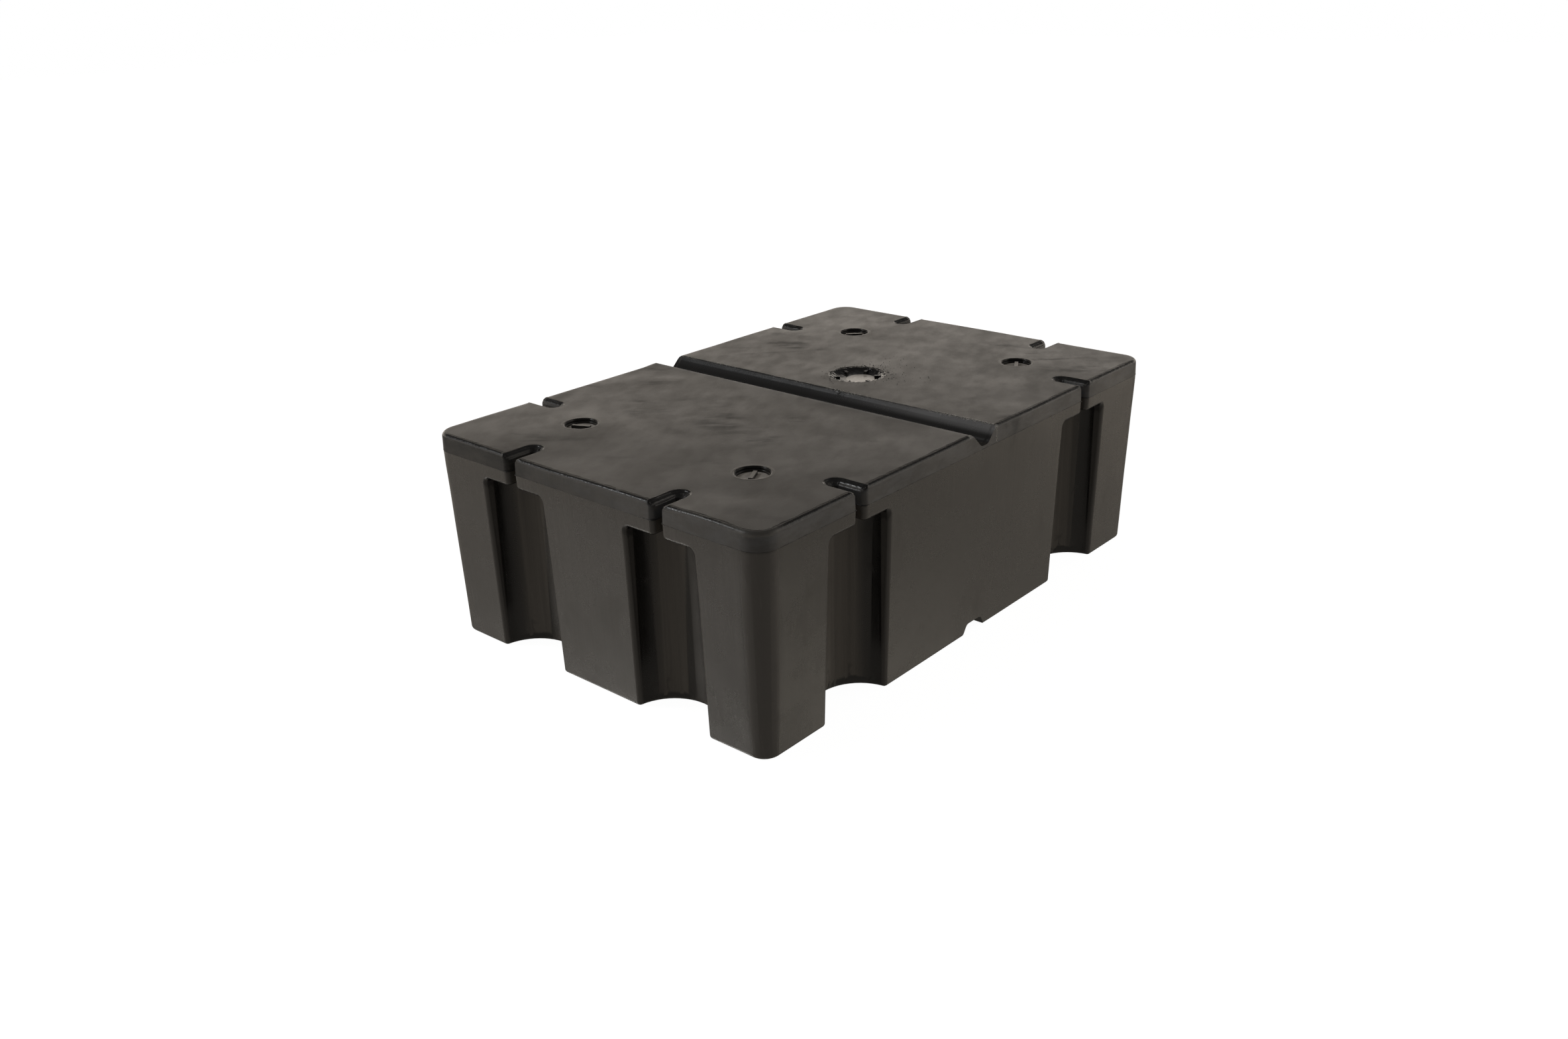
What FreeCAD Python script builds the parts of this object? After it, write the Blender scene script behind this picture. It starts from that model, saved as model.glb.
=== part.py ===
"""Dock float drum: a sealed, moulded float with a flanged deck, eight fastening slots and five plugs.

Millimetres. The origin is the middle of the footprint, on the plane that the drum stands on.
X runs along the length, Y across the width, and Z up through the deck.
"""

import FreeCAD, Part
import math
import os
import Sketcher

doc = FreeCAD.newDocument("dock_float_drum")

SIZES = [
    ("drum_length", 914.4, "over the parting line"),
    ("drum_width", 609.6, "over the parting line"),
    ("drum_height", 304.8, "bottom face to deck"),
    ("rim_height", 26.4, "line where the two mould halves meet, to deck"),
    ("ear_thickness", 21.0, "flange below the parting line, over each flute"),
    ("draft_angle", 1.65, "degrees, each outer wall towards its own mould half"),
    ("corner_radius", 31.0, "upright corners, at the parting line"),
    ("edge_radius", 6.0, "deck edge, flute edges and the flange's lower edge"),
    ("foot_radius", 5.0, "edge round the bottom face"),
    ("slot_width", 13.5, "fastening slots, at the parting line"),
    ("slot_reach", 47.5, "fastening slots, from the flange's edge to their round end"),
    ("slot_mouth_radius", 7.0, "where a slot opens through the flange's edge"),
    ("slot_flare", 8.0, "width and depth of the slope from the deck into each slot"),
    ("flare_corner_radius", 4.0, "where a slot's slope leaves the drum's outer wall"),
    ("slot_inset_long", 185.2, "long side, from its end to the middle of a slot"),
    ("slot_inset_short", 167.8, "short side, from its end to the middle of a slot"),
    ("flute_radius", 62.0, "hollow under each slot, at the bottom face"),
    ("flute_inset", 2.0, "from the flange's edge to the middle of a flute's round"),
    ("flute_draft", 0.75, "degrees"),
    ("flute_roof_radius", 8.0, "from a flute's wall into the flange's underside"),
    ("groove_width", 58.0, "strap groove, across the deck"),
    ("groove_depth", 21.5, "strap groove"),
    ("groove_slope", 45.0, "degrees, from the deck to a side of the strap groove"),
    ("groove_root_radius", 9.0, "strap groove, along its bottom"),
    ("notch_width", 54.0, "drain notch, across the bottom face"),
    ("notch_depth", 17.0, "drain notch"),
    ("notch_slope", 60.0, "degrees, from the bottom face to a side of the drain notch"),
    ("notch_root_radius", 8.0, "drain notch, along its roof"),
    ("plug_inset_x", 148.2, "from the drum's end to the centre of a small plug"),
    ("plug_inset_y", 143.8, "from the drum's long side to the centre of a small plug"),
    ("plug_bore", 47.0, "small plug, across its open mouth"),
    ("plug_flange", 55.0, "small plug, over its flange"),
    ("plug_depth", 7.0, "small plug, from the deck to its floor"),
    ("step_width", 2.5, "step inside a small plug"),
    ("step_depth", 4.0, "from the deck to the step"),
    ("bar_length", 28.0, "driving bar on a small plug's floor"),
    ("bar_width", 6.0, "driving bar"),
    ("bar_rise", 4.5, "driving bar, above the plug's floor"),
    ("fill_x", 110.0, "from the middle of the drum to the filling port"),
    ("fill_bore", 78.0, "filling plug, across its open mouth"),
    ("fill_floor", 58.0, "filling plug, across its floor"),
    ("fill_flange", 87.0, "filling plug, over its flange"),
    ("fill_depth", 7.0, "filling plug, from the deck to its floor"),
    ("lug_width", 5.0, "driving lugs inside the filling plug"),
    ("lug_reach", 3.5, "driving lugs, inwards from the rim of the floor"),
    ("lug_rise", 5.0, "driving lugs, above the floor"),
    ("lug_count", 6, "driving lugs"),
    ("flange_thickness", 2.0, "flanges of all the plugs"),
    ("plug_wall", 2.2, "walls and floors of all the plugs"),
    ("plug_rim_chamfer", 0.7, "edges of the plugs' flanges"),
    ("plug_clearance", 0.3, "all round each plug in its port, and under its floor"),
]

sizes = doc.addObject("Spreadsheet::Sheet", "sizes")
for row, (alias, value, meaning) in enumerate(SIZES, start=1):
    sizes.set(f"A{row}", alias)
    sizes.set(f"B{row}", str(value))
    sizes.set(f"C{row}", meaning)
    sizes.setAlias(f"B{row}", alias)
doc.recompute()

# Heights and half sizes that several pieces share, as expressions of the sheet.
PARTING = "(sizes.drum_height - sizes.rim_height)"
EAR_UNDERSIDE = f"({PARTING} - sizes.ear_thickness)"
HALF_LENGTH = "sizes.drum_length / 2"
HALF_WIDTH = "sizes.drum_width / 2"
HULL_INSET = "sizes.ear_thickness * tan(sizes.draft_angle)"
Z_AXIS = FreeCAD.Vector(0, 0, 1)
SLOT_WALL = "sizes.slot_width / 2"
TOUCH = 1e-3


def number(expression):
    """What an expression of the sheet's sizes comes to."""
    value = sizes.evalExpression(expression)
    return float(getattr(value, "Value", value))


def new_body(label):
    body = doc.addObject("PartDesign::Body", label)
    body.Label = label
    return body


def new_sketch(body, name, role="XY_Plane", height=None):
    """A sketch on one of the body's own origin planes, lifted along the plane's normal."""
    sketch = body.newObject("Sketcher::SketchObject", name)
    plane = next(item for item in body.Origin.OriginFeatures if item.Role == role)
    sketch.AttachmentSupport = [(plane, "")]
    sketch.MapMode = "FlatFace"
    if height:
        sketch.setExpression("AttachmentOffset.Base.z", height)
    return sketch


def new_feature(body, kind, name, settings, **expressions):
    """A feature with its plain settings, and with its sizes tied to the sheet."""
    feature = body.newObject(f"PartDesign::{kind}", name)
    for setting, value in settings.items():
        setattr(feature, setting, value)
    for setting, expression in expressions.items():
        feature.setExpression(setting, expression)
    doc.recompute()
    return feature


def limit(sketch, kind, *references, to):
    """Adds a dimension to a sketch and ties it to the sheet."""
    index = sketch.addConstraint(Sketcher.Constraint(kind, *references, number(to)))
    sketch.setExpression(f"Constraints[{index}]", to)


def fix_point(sketch, item, point, x=None, y=None):
    """Ties a point of a sketch item to its place from the sketch's origin."""
    if x:
        limit(sketch, "DistanceX", -1, 1, item, point, to=x)
    if y:
        limit(sketch, "DistanceY", -1, 1, item, point, to=y)


class Side:
    """One side of the drum in plan, walked anticlockwise, with its sizes as expressions.

    A place on it is given by how far along the side it is from the middle, and by how far out it is
    from the drum's centre.
    """

    def __init__(self, quarter, half, out, slot_inset):
        self.quarter = quarter
        self.half = half
        self.out = out
        self.slots = [f"-({half} - {slot_inset})", f"({half} - {slot_inset})"]

    def turned(self, along, out):
        """The place as expressions of the sketch's X and Y."""
        return [
            (along, f"-({out})"),
            (out, along),
            (f"-({along})", out),
            (f"-({out})", f"-({along})"),
        ][self.quarter]

    def across(self, out):
        """How far out a place is, as the one expression of the sketch's X or Y that says so."""
        x, y = self.turned("", out)
        return (None, y) if self.quarter in (0, 2) else (x, None)

    def point(self, along, out):
        x, y = self.turned(along, out)
        return FreeCAD.Vector(number(x), number(y), 0)


SIDES = [
    Side(0, HALF_LENGTH, HALF_WIDTH, "sizes.slot_inset_long"),
    Side(1, HALF_WIDTH, HALF_LENGTH, "sizes.slot_inset_short"),
    Side(2, HALF_LENGTH, HALF_WIDTH, "sizes.slot_inset_long"),
    Side(3, HALF_WIDTH, HALF_LENGTH, "sizes.slot_inset_short"),
]


class Outline:
    """A closed outline of straight and round pieces that run smoothly into each other."""

    def __init__(self, sketch):
        self.sketch = sketch
        self.pieces = []

    def line(self, side, start, end):
        """A straight piece between two places of a side."""
        first = side.point(*start)
        last = side.point(*end)
        index = self.sketch.addGeometry(Part.LineSegment(first, last))
        level = "Horizontal" if abs(first.y - last.y) < TOUCH else "Vertical"
        self.sketch.addConstraint(Sketcher.Constraint(level, index))
        self.pieces.append((index, 1, 2))
        return index

    def arc(self, side, centre, radius, start, turn):
        """A round piece. Angles are quarter turns from the side's direction. A right turn is negative."""
        circle = Part.Circle(side.point(*centre), Z_AXIS, number(radius))
        first, last = sorted(math.pi / 2 * (side.quarter + angle) for angle in (start, start + turn))
        index = self.sketch.addGeometry(Part.ArcOfCircle(circle, first, last))
        self.pieces.append((index, 1, 2) if turn > 0 else (index, 2, 1))
        return index

    def close(self):
        """Joins each piece's end smoothly to the next piece's start."""
        joins = zip(self.pieces, self.pieces[1:] + self.pieces[:1])
        self.sketch.addConstraint([Sketcher.Constraint("Tangent", a[0], a[2], b[0], b[1]) for a, b in joins])


def same_radius(sketch, arcs, radius):
    limit(sketch, "Radius", arcs[0], to=radius)
    for arc in arcs[1:]:
        sketch.addConstraint(Sketcher.Constraint("Equal", arcs[0], arc))


def slot_end(side):
    """How far out from the drum's centre the round end of a side's slots has its own centre."""
    return f"{side.out} - sizes.slot_reach + {SLOT_WALL}"


def draw_slot(outline, side, middle, edge):
    """One U slot of the flange's outline, from its first rounded mouth to its second."""
    mouth = "sizes.slot_mouth_radius"
    near = f"{middle} - {SLOT_WALL}"
    far = f"{middle} + {SLOT_WALL}"
    mouth_end = f"{edge} - {mouth}"
    round_end = slot_end(side)
    first_mouth = outline.arc(side, (f"{near} - {mouth}", mouth_end), mouth, start=-1, turn=1)
    outline.line(side, (near, mouth_end), (near, round_end))
    end = outline.arc(side, (middle, round_end), SLOT_WALL, start=2, turn=-2)
    outline.line(side, (far, round_end), (far, mouth_end))
    last_mouth = outline.arc(side, (f"{far} + {mouth}", mouth_end), mouth, start=2, turn=1)
    fix_point(outline.sketch, end, 3, *side.turned(middle, round_end))
    return [first_mouth, last_mouth], end


def draw_flare(sketch, side, middle):
    """The outline in the deck of the slope into one slot. It runs on past the drum's edge."""
    half = f"({SLOT_WALL} + sizes.slot_flare)"
    near = f"{middle} - {half}"
    far = f"{middle} + {half}"
    inner = slot_end(side)
    outer = f"{side.out} + {half}"
    outline = Outline(sketch)
    outline.line(side, (near, outer), (near, inner))
    end = outline.arc(side, (middle, inner), half, start=2, turn=-2)
    outline.line(side, (far, inner), (far, outer))
    outside = outline.arc(side, (middle, outer), half, start=0, turn=-2)
    outline.close()
    limit(sketch, "Radius", end, to=half)
    fix_point(sketch, end, 3, *side.turned(middle, inner))
    fix_point(sketch, outside, 3, *side.across(outer))


def draw_plan(sketch, inset, with_slots):
    """The drum's outline in plan, drawn in from the parting line by an inset, with or without the slots."""
    outline = Outline(sketch)
    radius = f"(sizes.corner_radius - {inset})"
    corners, mouths, ends, edges = [], [], [], []
    for side in SIDES:
        half = f"({side.half} - {inset})"
        edge = f"({side.out} - {inset})"
        start = f"-({half} - {radius})"
        for middle in side.slots if with_slots else []:
            beside = f"{SLOT_WALL} + sizes.slot_mouth_radius"
            edges.append((side, edge, outline.line(side, (start, edge), (f"{middle} - ({beside})", edge))))
            slot_mouths, end = draw_slot(outline, side, middle, edge)
            mouths += slot_mouths
            ends.append(end)
            start = f"{middle} + {beside}"
        edges.append((side, edge, outline.line(side, (start, edge), (f"{half} - {radius}", edge))))
        centre = (f"{half} - {radius}", f"{edge} - {radius}")
        corners.append(outline.arc(side, centre, radius, start=-1, turn=1))
    outline.close()
    for side, edge, line in edges:
        fix_point(sketch, line, 1, *side.across(edge))
    same_radius(sketch, corners, radius)
    if with_slots:
        same_radius(sketch, mouths, "sizes.slot_mouth_radius")
        same_radius(sketch, ends, SLOT_WALL)


def draw_circle(sketch, x, y, radius):
    circle = sketch.addGeometry(Part.Circle(FreeCAD.Vector(number(x), number(y), 0), Z_AXIS, number(radius)))
    limit(sketch, "Radius", circle, to=radius)
    fix_point(sketch, circle, 3, x, y)


def draw_profile(sketch, corners):
    """A closed polygon whose corners are expressions."""
    points = [FreeCAD.Vector(number(x), number(y), 0) for x, y in corners]
    lines = [sketch.addGeometry(Part.LineSegment(a, b)) for a, b in zip(points, points[1:] + points[:1])]
    for here, there in zip(lines, lines[1:] + lines[:1]):
        sketch.addConstraint(Sketcher.Constraint("Coincident", here, 2, there, 1))
    for line, (x, y) in zip(lines, corners):
        fix_point(sketch, line, 1, x, y)


def draw_box(sketch, left, right, bottom, top):
    draw_profile(sketch, [(left, bottom), (right, bottom), (right, top), (left, top)])


def draw_channel(sketch, half_mouth, half_root, mouth_level, root_level):
    """The section of a channel whose sides slope in from its mouth to its root."""
    mouth = [(f"-({half_mouth})", mouth_level), (half_mouth, mouth_level)]
    root = [(half_root, root_level), (f"-({half_root})", root_level)]
    draw_profile(sketch, mouth + root)


def edge_names(feature, wanted):
    """The names of a feature's edges that pass a test."""
    return [f"Edge{n}" for n, edge in enumerate(feature.Shape.Edges, start=1) if wanted(edge)]


def fillet(body, name, base, wanted, radius):
    return new_feature(body, "Fillet", name, {"Base": (base, edge_names(base, wanted))}, Radius=radius)


def is_round(edge, radius):
    return isinstance(edge.Curve, Part.Circle) and abs(edge.Curve.Radius - radius) < TOUCH


def level_at(edge, height):
    return abs(edge.BoundBox.ZMin - height) < TOUCH and abs(edge.BoundBox.ZMax - height) < TOUCH


drum = new_body("drum_body")

flange_plan = new_sketch(drum, "flange_plan", height=PARTING)
draw_plan(flange_plan, "0", with_slots=True)
flange = new_feature(
    drum,
    "Pad",
    "flange",
    {"Profile": flange_plan, "SideType": "Two sides"},
    Length="sizes.rim_height",
    Length2="sizes.ear_thickness",
    TaperAngle="-sizes.draft_angle",
    TaperAngle2="-sizes.draft_angle",
)

hull_plan = new_sketch(drum, "hull_plan", height=EAR_UNDERSIDE)
draw_plan(hull_plan, HULL_INSET, with_slots=False)
hull = new_feature(
    drum,
    "Pad",
    "hull",
    {"Profile": hull_plan, "Reversed": True},
    Length=EAR_UNDERSIDE,
    TaperAngle="-sizes.draft_angle",
)

flute_plan = new_sketch(drum, "flute_plan")
for side in SIDES:
    for middle in side.slots:
        x, y = side.turned(middle, f"{side.out} - sizes.flute_inset")
        draw_circle(flute_plan, x, y, "sizes.flute_radius")
flutes = new_feature(
    drum,
    "Pocket",
    "flutes",
    {"Profile": flute_plan, "Reversed": True},
    Length=EAR_UNDERSIDE,
    TaperAngle="-sizes.flute_draft",
)

# The mould half that forms the deck opens each slot out in a slope of 45 degrees.
flare_plan = new_sketch(drum, "flare_plan", height="sizes.drum_height")
for side in SIDES:
    for middle in side.slots:
        draw_flare(flare_plan, side, middle)
slot_flares = new_feature(
    drum,
    "Pocket",
    "slot_flares",
    {"Profile": flare_plan, "TaperAngle": -45},
    Length="sizes.slot_flare",
)

groove_section = new_sketch(drum, "groove_section", role="XZ_Plane")
draw_channel(
    groove_section,
    half_mouth="sizes.groove_width / 2",
    half_root="sizes.groove_width / 2 - sizes.groove_depth / tan(sizes.groove_slope)",
    mouth_level="sizes.drum_height",
    root_level="sizes.drum_height - sizes.groove_depth",
)
groove = new_feature(
    drum,
    "Pocket",
    "groove",
    {"Profile": groove_section, "SideType": "Symmetric", "Type": "ThroughAll"},
)

notch_section = new_sketch(drum, "notch_section", role="XZ_Plane")
draw_channel(
    notch_section,
    half_mouth="sizes.notch_width / 2",
    half_root="sizes.notch_width / 2 - sizes.notch_depth / tan(sizes.notch_slope)",
    mouth_level="0",
    root_level="sizes.notch_depth",
)
notch = new_feature(
    drum,
    "Pocket",
    "notch",
    {"Profile": notch_section, "SideType": "Symmetric", "Type": "ThroughAll"},
)

flute_top_radius = number(f"sizes.flute_radius - {EAR_UNDERSIDE} * tan(sizes.flute_draft)")


def is_flute_roof(edge):
    return level_at(edge, number(EAR_UNDERSIDE)) and is_round(edge, flute_top_radius)


def is_flute_side(edge):
    """The long edges where a flute leaves an outer wall. They are curved, and the wall's seams are not."""
    box = edge.BoundBox
    tall = box.ZMin < TOUCH and box.ZMax > number(EAR_UNDERSIDE) / 2
    return tall and not isinstance(edge.Curve, Part.Line)


def is_channel_root(edge, level):
    """The long inner corners of the groove or the notch."""
    box = edge.BoundBox
    return level_at(edge, level) and box.YMax - box.YMin > number(HALF_WIDTH) and box.XMax - box.XMin < TOUCH


def is_groove_root(edge):
    return is_channel_root(edge, number("sizes.drum_height - sizes.groove_depth"))


def is_notch_root(edge):
    return is_channel_root(edge, number("sizes.notch_depth"))


def is_flare_corner(edge):
    """The short slanted edges where the slope of a slot leaves an outer wall."""
    box, middle = edge.BoundBox, edge.CenterOfMass
    top = number("sizes.drum_height")
    short = abs(box.ZMax - top) < TOUCH and top - number("sizes.slot_flare") < box.ZMin < top - TOUCH
    by_long_wall = abs(middle.y) > number(f"{HALF_WIDTH} - sizes.slot_mouth_radius")
    by_short_wall = abs(middle.x) > number(f"{HALF_LENGTH} - sizes.slot_mouth_radius")
    return short and (by_long_wall or by_short_wall)


def is_deck_edge(edge):
    return level_at(edge, number("sizes.drum_height"))


def is_foot_edge(edge):
    return level_at(edge, 0)


# The rounding of the flutes' edges runs on along the flange's lower edge and round its slots.
flute_roofs = fillet(drum, "flute_roofs", notch, is_flute_roof, "sizes.flute_roof_radius")
flute_edges = fillet(drum, "flute_edges", flute_roofs, is_flute_side, "sizes.edge_radius")
groove_roots = fillet(drum, "groove_roots", flute_edges, is_groove_root, "sizes.groove_root_radius")
notch_roots = fillet(drum, "notch_roots", groove_roots, is_notch_root, "sizes.notch_root_radius")
flare_corners = fillet(drum, "flare_corners", notch_roots, is_flare_corner, "sizes.flare_corner_radius")
deck_edges = fillet(drum, "deck_edges", flare_corners, is_deck_edge, "sizes.edge_radius")
foot_edges = fillet(drum, "foot_edges", deck_edges, is_foot_edge, "sizes.foot_radius")

# Ports: a shallow seat for each plug's flange, flush with the deck, and a bore below it for the plug's cup.
PLUG_X = f"({HALF_LENGTH} - sizes.plug_inset_x)"
PLUG_Y = f"({HALF_WIDTH} - sizes.plug_inset_y)"
SMALL_PORTS = {
    "front_left": (f"-{PLUG_X}", f"-{PLUG_Y}"),
    "front_right": (PLUG_X, f"-{PLUG_Y}"),
    "back_left": (f"-{PLUG_X}", PLUG_Y),
    "back_right": (PLUG_X, PLUG_Y),
}
FILL_PORT = ("sizes.fill_x", "0")


def cut_ports(name, places, flange, bore, depth):
    """Cuts the same stepped port at each place."""
    seat_plan = new_sketch(drum, f"{name}_seat_plan", height="sizes.drum_height")
    bore_plan = new_sketch(drum, f"{name}_bore_plan", height="sizes.drum_height")
    for x, y in places:
        draw_circle(seat_plan, x, y, f"{flange} / 2 + sizes.plug_clearance")
        draw_circle(bore_plan, x, y, f"{bore} / 2 + sizes.plug_wall + sizes.plug_clearance")
    new_feature(drum, "Pocket", f"{name}_seats", {"Profile": seat_plan}, Length="sizes.flange_thickness")
    floor = f"{depth} + sizes.plug_wall + sizes.plug_clearance"
    new_feature(drum, "Pocket", f"{name}_bores", {"Profile": bore_plan}, Length=floor)


cut_ports("small_port", SMALL_PORTS.values(), "sizes.plug_flange", "sizes.plug_bore", "sizes.plug_depth")
cut_ports("fill_port", [FILL_PORT], "sizes.fill_flange", "sizes.fill_bore", "sizes.fill_depth")


def turn_profile(body, corners):
    """Turns a half section, given as radius and height below the deck, about the body's own Z."""
    section = new_sketch(body, f"{body.Label}_section", role="XZ_Plane")
    draw_profile(section, corners)
    axis = (section, ["V_Axis"])
    return new_feature(body, "Revolution", f"{body.Label}_cup", {"Profile": section, "ReferenceAxis": axis})


def chamfer_rims(body, base, radii):
    """Breaks the edges of a plug's flange that show on the deck."""
    wanted = [number(radius) for radius in radii]

    def is_rim(edge):
        return level_at(edge, 0) and any(is_round(edge, radius) for radius in wanted)

    rims = {"Base": (base, edge_names(base, is_rim))}
    new_feature(body, "Chamfer", f"{body.Label}_rims", rims, Size="sizes.plug_rim_chamfer")


def seat_in_port(body, place, turn):
    """Puts a plug's flange flush with the deck. The turn is the one it was left at, in degrees."""
    body.Placement = FreeCAD.Placement(FreeCAD.Vector(0, 0, 0), FreeCAD.Rotation(Z_AXIS, turn))
    body.setExpression("Placement.Base.x", place[0])
    body.setExpression("Placement.Base.y", place[1])
    body.setExpression("Placement.Base.z", "sizes.drum_height")


def make_small_plug(name, place, turn):
    """A cup with a step round its wall and a driving bar that stands on its floor."""
    plug = new_body(name)
    cup = "sizes.plug_bore / 2"
    well = f"({cup} - sizes.step_width)"
    base = turn_profile(plug, [
        ("0", "-sizes.plug_depth - sizes.plug_wall"),
        (f"{cup} + sizes.plug_wall", "-sizes.plug_depth - sizes.plug_wall"),
        (f"{cup} + sizes.plug_wall", "-sizes.flange_thickness"),
        ("sizes.plug_flange / 2", "-sizes.flange_thickness"),
        ("sizes.plug_flange / 2", "0"),
        (cup, "0"),
        (cup, "-sizes.step_depth"),
        (well, "-sizes.step_depth"),
        (well, "-sizes.plug_depth"),
        ("0", "-sizes.plug_depth"),
    ])
    chamfer_rims(plug, base, ["sizes.plug_flange / 2", cup])
    bar_plan = new_sketch(plug, f"{name}_bar_plan", height="-sizes.plug_depth")
    draw_box(bar_plan, "-sizes.bar_length / 2", "sizes.bar_length / 2", "-sizes.bar_width / 2", "sizes.bar_width / 2")
    new_feature(plug, "Pad", f"{name}_bar", {"Profile": bar_plan}, Length="sizes.bar_rise")
    seat_in_port(plug, place, turn)
    return plug


def make_fill_plug(turn):
    """A dished plug whose wall leans out from a flat floor, with driving lugs round the floor's rim."""
    plug = new_body("fill_plug")
    mouth = "sizes.fill_bore / 2"
    rim = "sizes.fill_floor / 2"
    base = turn_profile(plug, [
        ("0", "-sizes.fill_depth - sizes.plug_wall"),
        (f"{mouth} + sizes.plug_wall", "-sizes.fill_depth - sizes.plug_wall"),
        (f"{mouth} + sizes.plug_wall", "-sizes.flange_thickness"),
        ("sizes.fill_flange / 2", "-sizes.flange_thickness"),
        ("sizes.fill_flange / 2", "0"),
        (mouth, "0"),
        (rim, "-sizes.fill_depth"),
        ("0", "-sizes.fill_depth"),
    ])
    chamfer_rims(plug, base, ["sizes.fill_flange / 2", mouth])
    lug_plan = new_sketch(plug, "lug_plan", height="-sizes.fill_depth")
    draw_box(lug_plan, f"{rim} - sizes.lug_reach", mouth, "-sizes.lug_width / 2", "sizes.lug_width / 2")
    lug = new_feature(plug, "Pad", "lug", {"Profile": lug_plan}, Length="sizes.lug_rise")
    lugs = new_feature(
        plug,
        "PolarPattern",
        "lugs",
        {"Originals": [lug], "Axis": (lug_plan, ["N_Axis"])},
        Occurrences="sizes.lug_count",
    )
    plug.Tip = lugs
    doc.recompute()
    seat_in_port(plug, FILL_PORT, turn)
    return plug


BAR_TURNS = {"front_left": 28, "front_right": 30, "back_left": 114, "back_right": 135}
FILL_TURN = 11
plugs = [make_small_plug(f"plug_{name}", place, BAR_TURNS[name]) for name, place in SMALL_PORTS.items()]
fill_plug = make_fill_plug(FILL_TURN)

doc.recompute()
for item in doc.Objects:
    if {"Invalid", "Error"} & set(item.State):
        raise RuntimeError(f"{item.Label} failed: {item.State}")

os.makedirs("parts", exist_ok=True)
for body in [drum, *plugs, fill_plug]:
    if body.Shape.isNull() or not body.Shape.isValid() or len(body.Shape.Solids) != 1:
        raise RuntimeError(f"{body.Label} isn't one sound solid")
    body.Shape.exportStep(f"parts/{body.Label}.step")
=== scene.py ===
"""Dock float drum: its moulded skin, the flash on its parting line and its plugs, set round the frame."""

import math
from types import SimpleNamespace

import bmesh
import bpy
import numpy as np
from mathutils import Matrix, Vector, noise


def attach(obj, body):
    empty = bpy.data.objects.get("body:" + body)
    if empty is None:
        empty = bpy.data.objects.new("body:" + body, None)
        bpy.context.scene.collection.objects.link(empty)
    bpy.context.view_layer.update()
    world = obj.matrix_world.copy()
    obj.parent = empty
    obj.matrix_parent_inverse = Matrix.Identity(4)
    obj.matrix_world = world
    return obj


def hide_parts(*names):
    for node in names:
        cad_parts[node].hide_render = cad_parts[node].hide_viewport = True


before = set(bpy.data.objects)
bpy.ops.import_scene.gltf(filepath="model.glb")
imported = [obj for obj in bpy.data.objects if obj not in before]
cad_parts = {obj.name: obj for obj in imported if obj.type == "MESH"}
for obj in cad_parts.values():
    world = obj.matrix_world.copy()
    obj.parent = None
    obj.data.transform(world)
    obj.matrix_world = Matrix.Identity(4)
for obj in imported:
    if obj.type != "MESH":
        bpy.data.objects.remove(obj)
for name in ("Cube", "Light", "Camera"):
    if name in bpy.data.objects:
        bpy.data.objects.remove(bpy.data.objects[name])
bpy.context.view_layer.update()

# The drum's main sizes, in metres, as the frame has them. Heights are from the floor.
HALF_LENGTH = 0.4572
HALF_WIDTH = 0.3048
DECK = 0.3048
PARTING = 0.2784
FLANGE_UNDERSIDE = 0.2574
CORNER_RADIUS = 0.031
EDGE_RADIUS = 0.006
RIM_DRAFT = 0.00076
WALL_DRAFT = math.tan(math.radians(1.65))
SLOT_X = 0.272
SLOT_Y = 0.137
GROOVE_HALF = 0.029
GROOVE_DEPTH = 0.0215
SMALL_PLUGS = {
    "front_left": (-0.309, -0.161),
    "front_right": (0.309, -0.161),
    "back_left": (-0.309, 0.161),
    "back_right": (0.309, 0.161),
}
FILL_PLUG = (0.110, 0.0)
SMALL_FLANGE = 0.0278
FILL_FLANGE = 0.0438

# How the plugs came to rest, in degrees about Z.
BAR_TURNS = {"front_left": 28, "front_right": 30, "back_left": 114, "back_right": 135}
FILL_TURN = 11

# How far the moulded skin strays inwards from the frame's solid, with room for the flash to stand in.
FLASH_ROOM = 0.0010
WALL_SLACK = 0.0012
DECK_SLACK = 0.0024
PORT_SINK = 0.0011
WALL_RIPPLE = 0.0003
DECK_RIPPLE = 0.00025

# How the skin's mesh is cut up, swollen along the slots and shaded.
CELL = 0.020
CUT = 1e-6
SWELL = 0.0010
SMOOTH_ANGLE = math.radians(38)
SIDE_SLOPE = math.sqrt(0.5)
SWELL_STEPS = 6
CLOSE_BY = 0.0025


def colour(red, green, blue):
    return (red, green, blue, 1.0)


# Colours of the plastic: bare, under the films that dull it, painted light and shade, and where it is
# rubbed, chipped or torn.
BLACK = colour(0.0045, 0.0042, 0.0040)
FILM = colour(0.034, 0.0275, 0.0185)
WALL_FILM = colour(0.010, 0.0088, 0.0070)
# Painted light on the end wall at -X, stronger towards the top.
END_WALL_LIGHT = colour(0.034, 0.032, 0.030)
# Painted light on the backs of the flutes.
FLUTE_FILL_LIGHT = colour(0.092, 0.083, 0.072)
# Painted light on the upright corners.
CORNER_FILL_LIGHT = colour(0.055, 0.052, 0.049)
# Painted sheen on the groove's slope, lighter towards its end at -Y.
PAINTED_GROOVE_SHEEN = colour(0.022, 0.0225, 0.0235)
PAINTED_GROOVE_END_SHEEN = colour(0.150, 0.150, 0.152)
DARK_BAND = colour(0.0040, 0.0050, 0.0062)
PALE_BAND = colour(0.0560, 0.0590, 0.0640)
RUBBED = colour(0.11, 0.105, 0.095)
CHIPS = colour(0.66, 0.64, 0.60)
TORN = colour(0.009, 0.0085, 0.008)

# Dust on the plugs, with painted light on their upward floors and bar tops.
DUST_AND_TOP_LIGHT = colour(0.60, 0.555, 0.50)
BAR_DUST_AND_TOP_LIGHT = colour(0.17, 0.155, 0.135)

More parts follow.
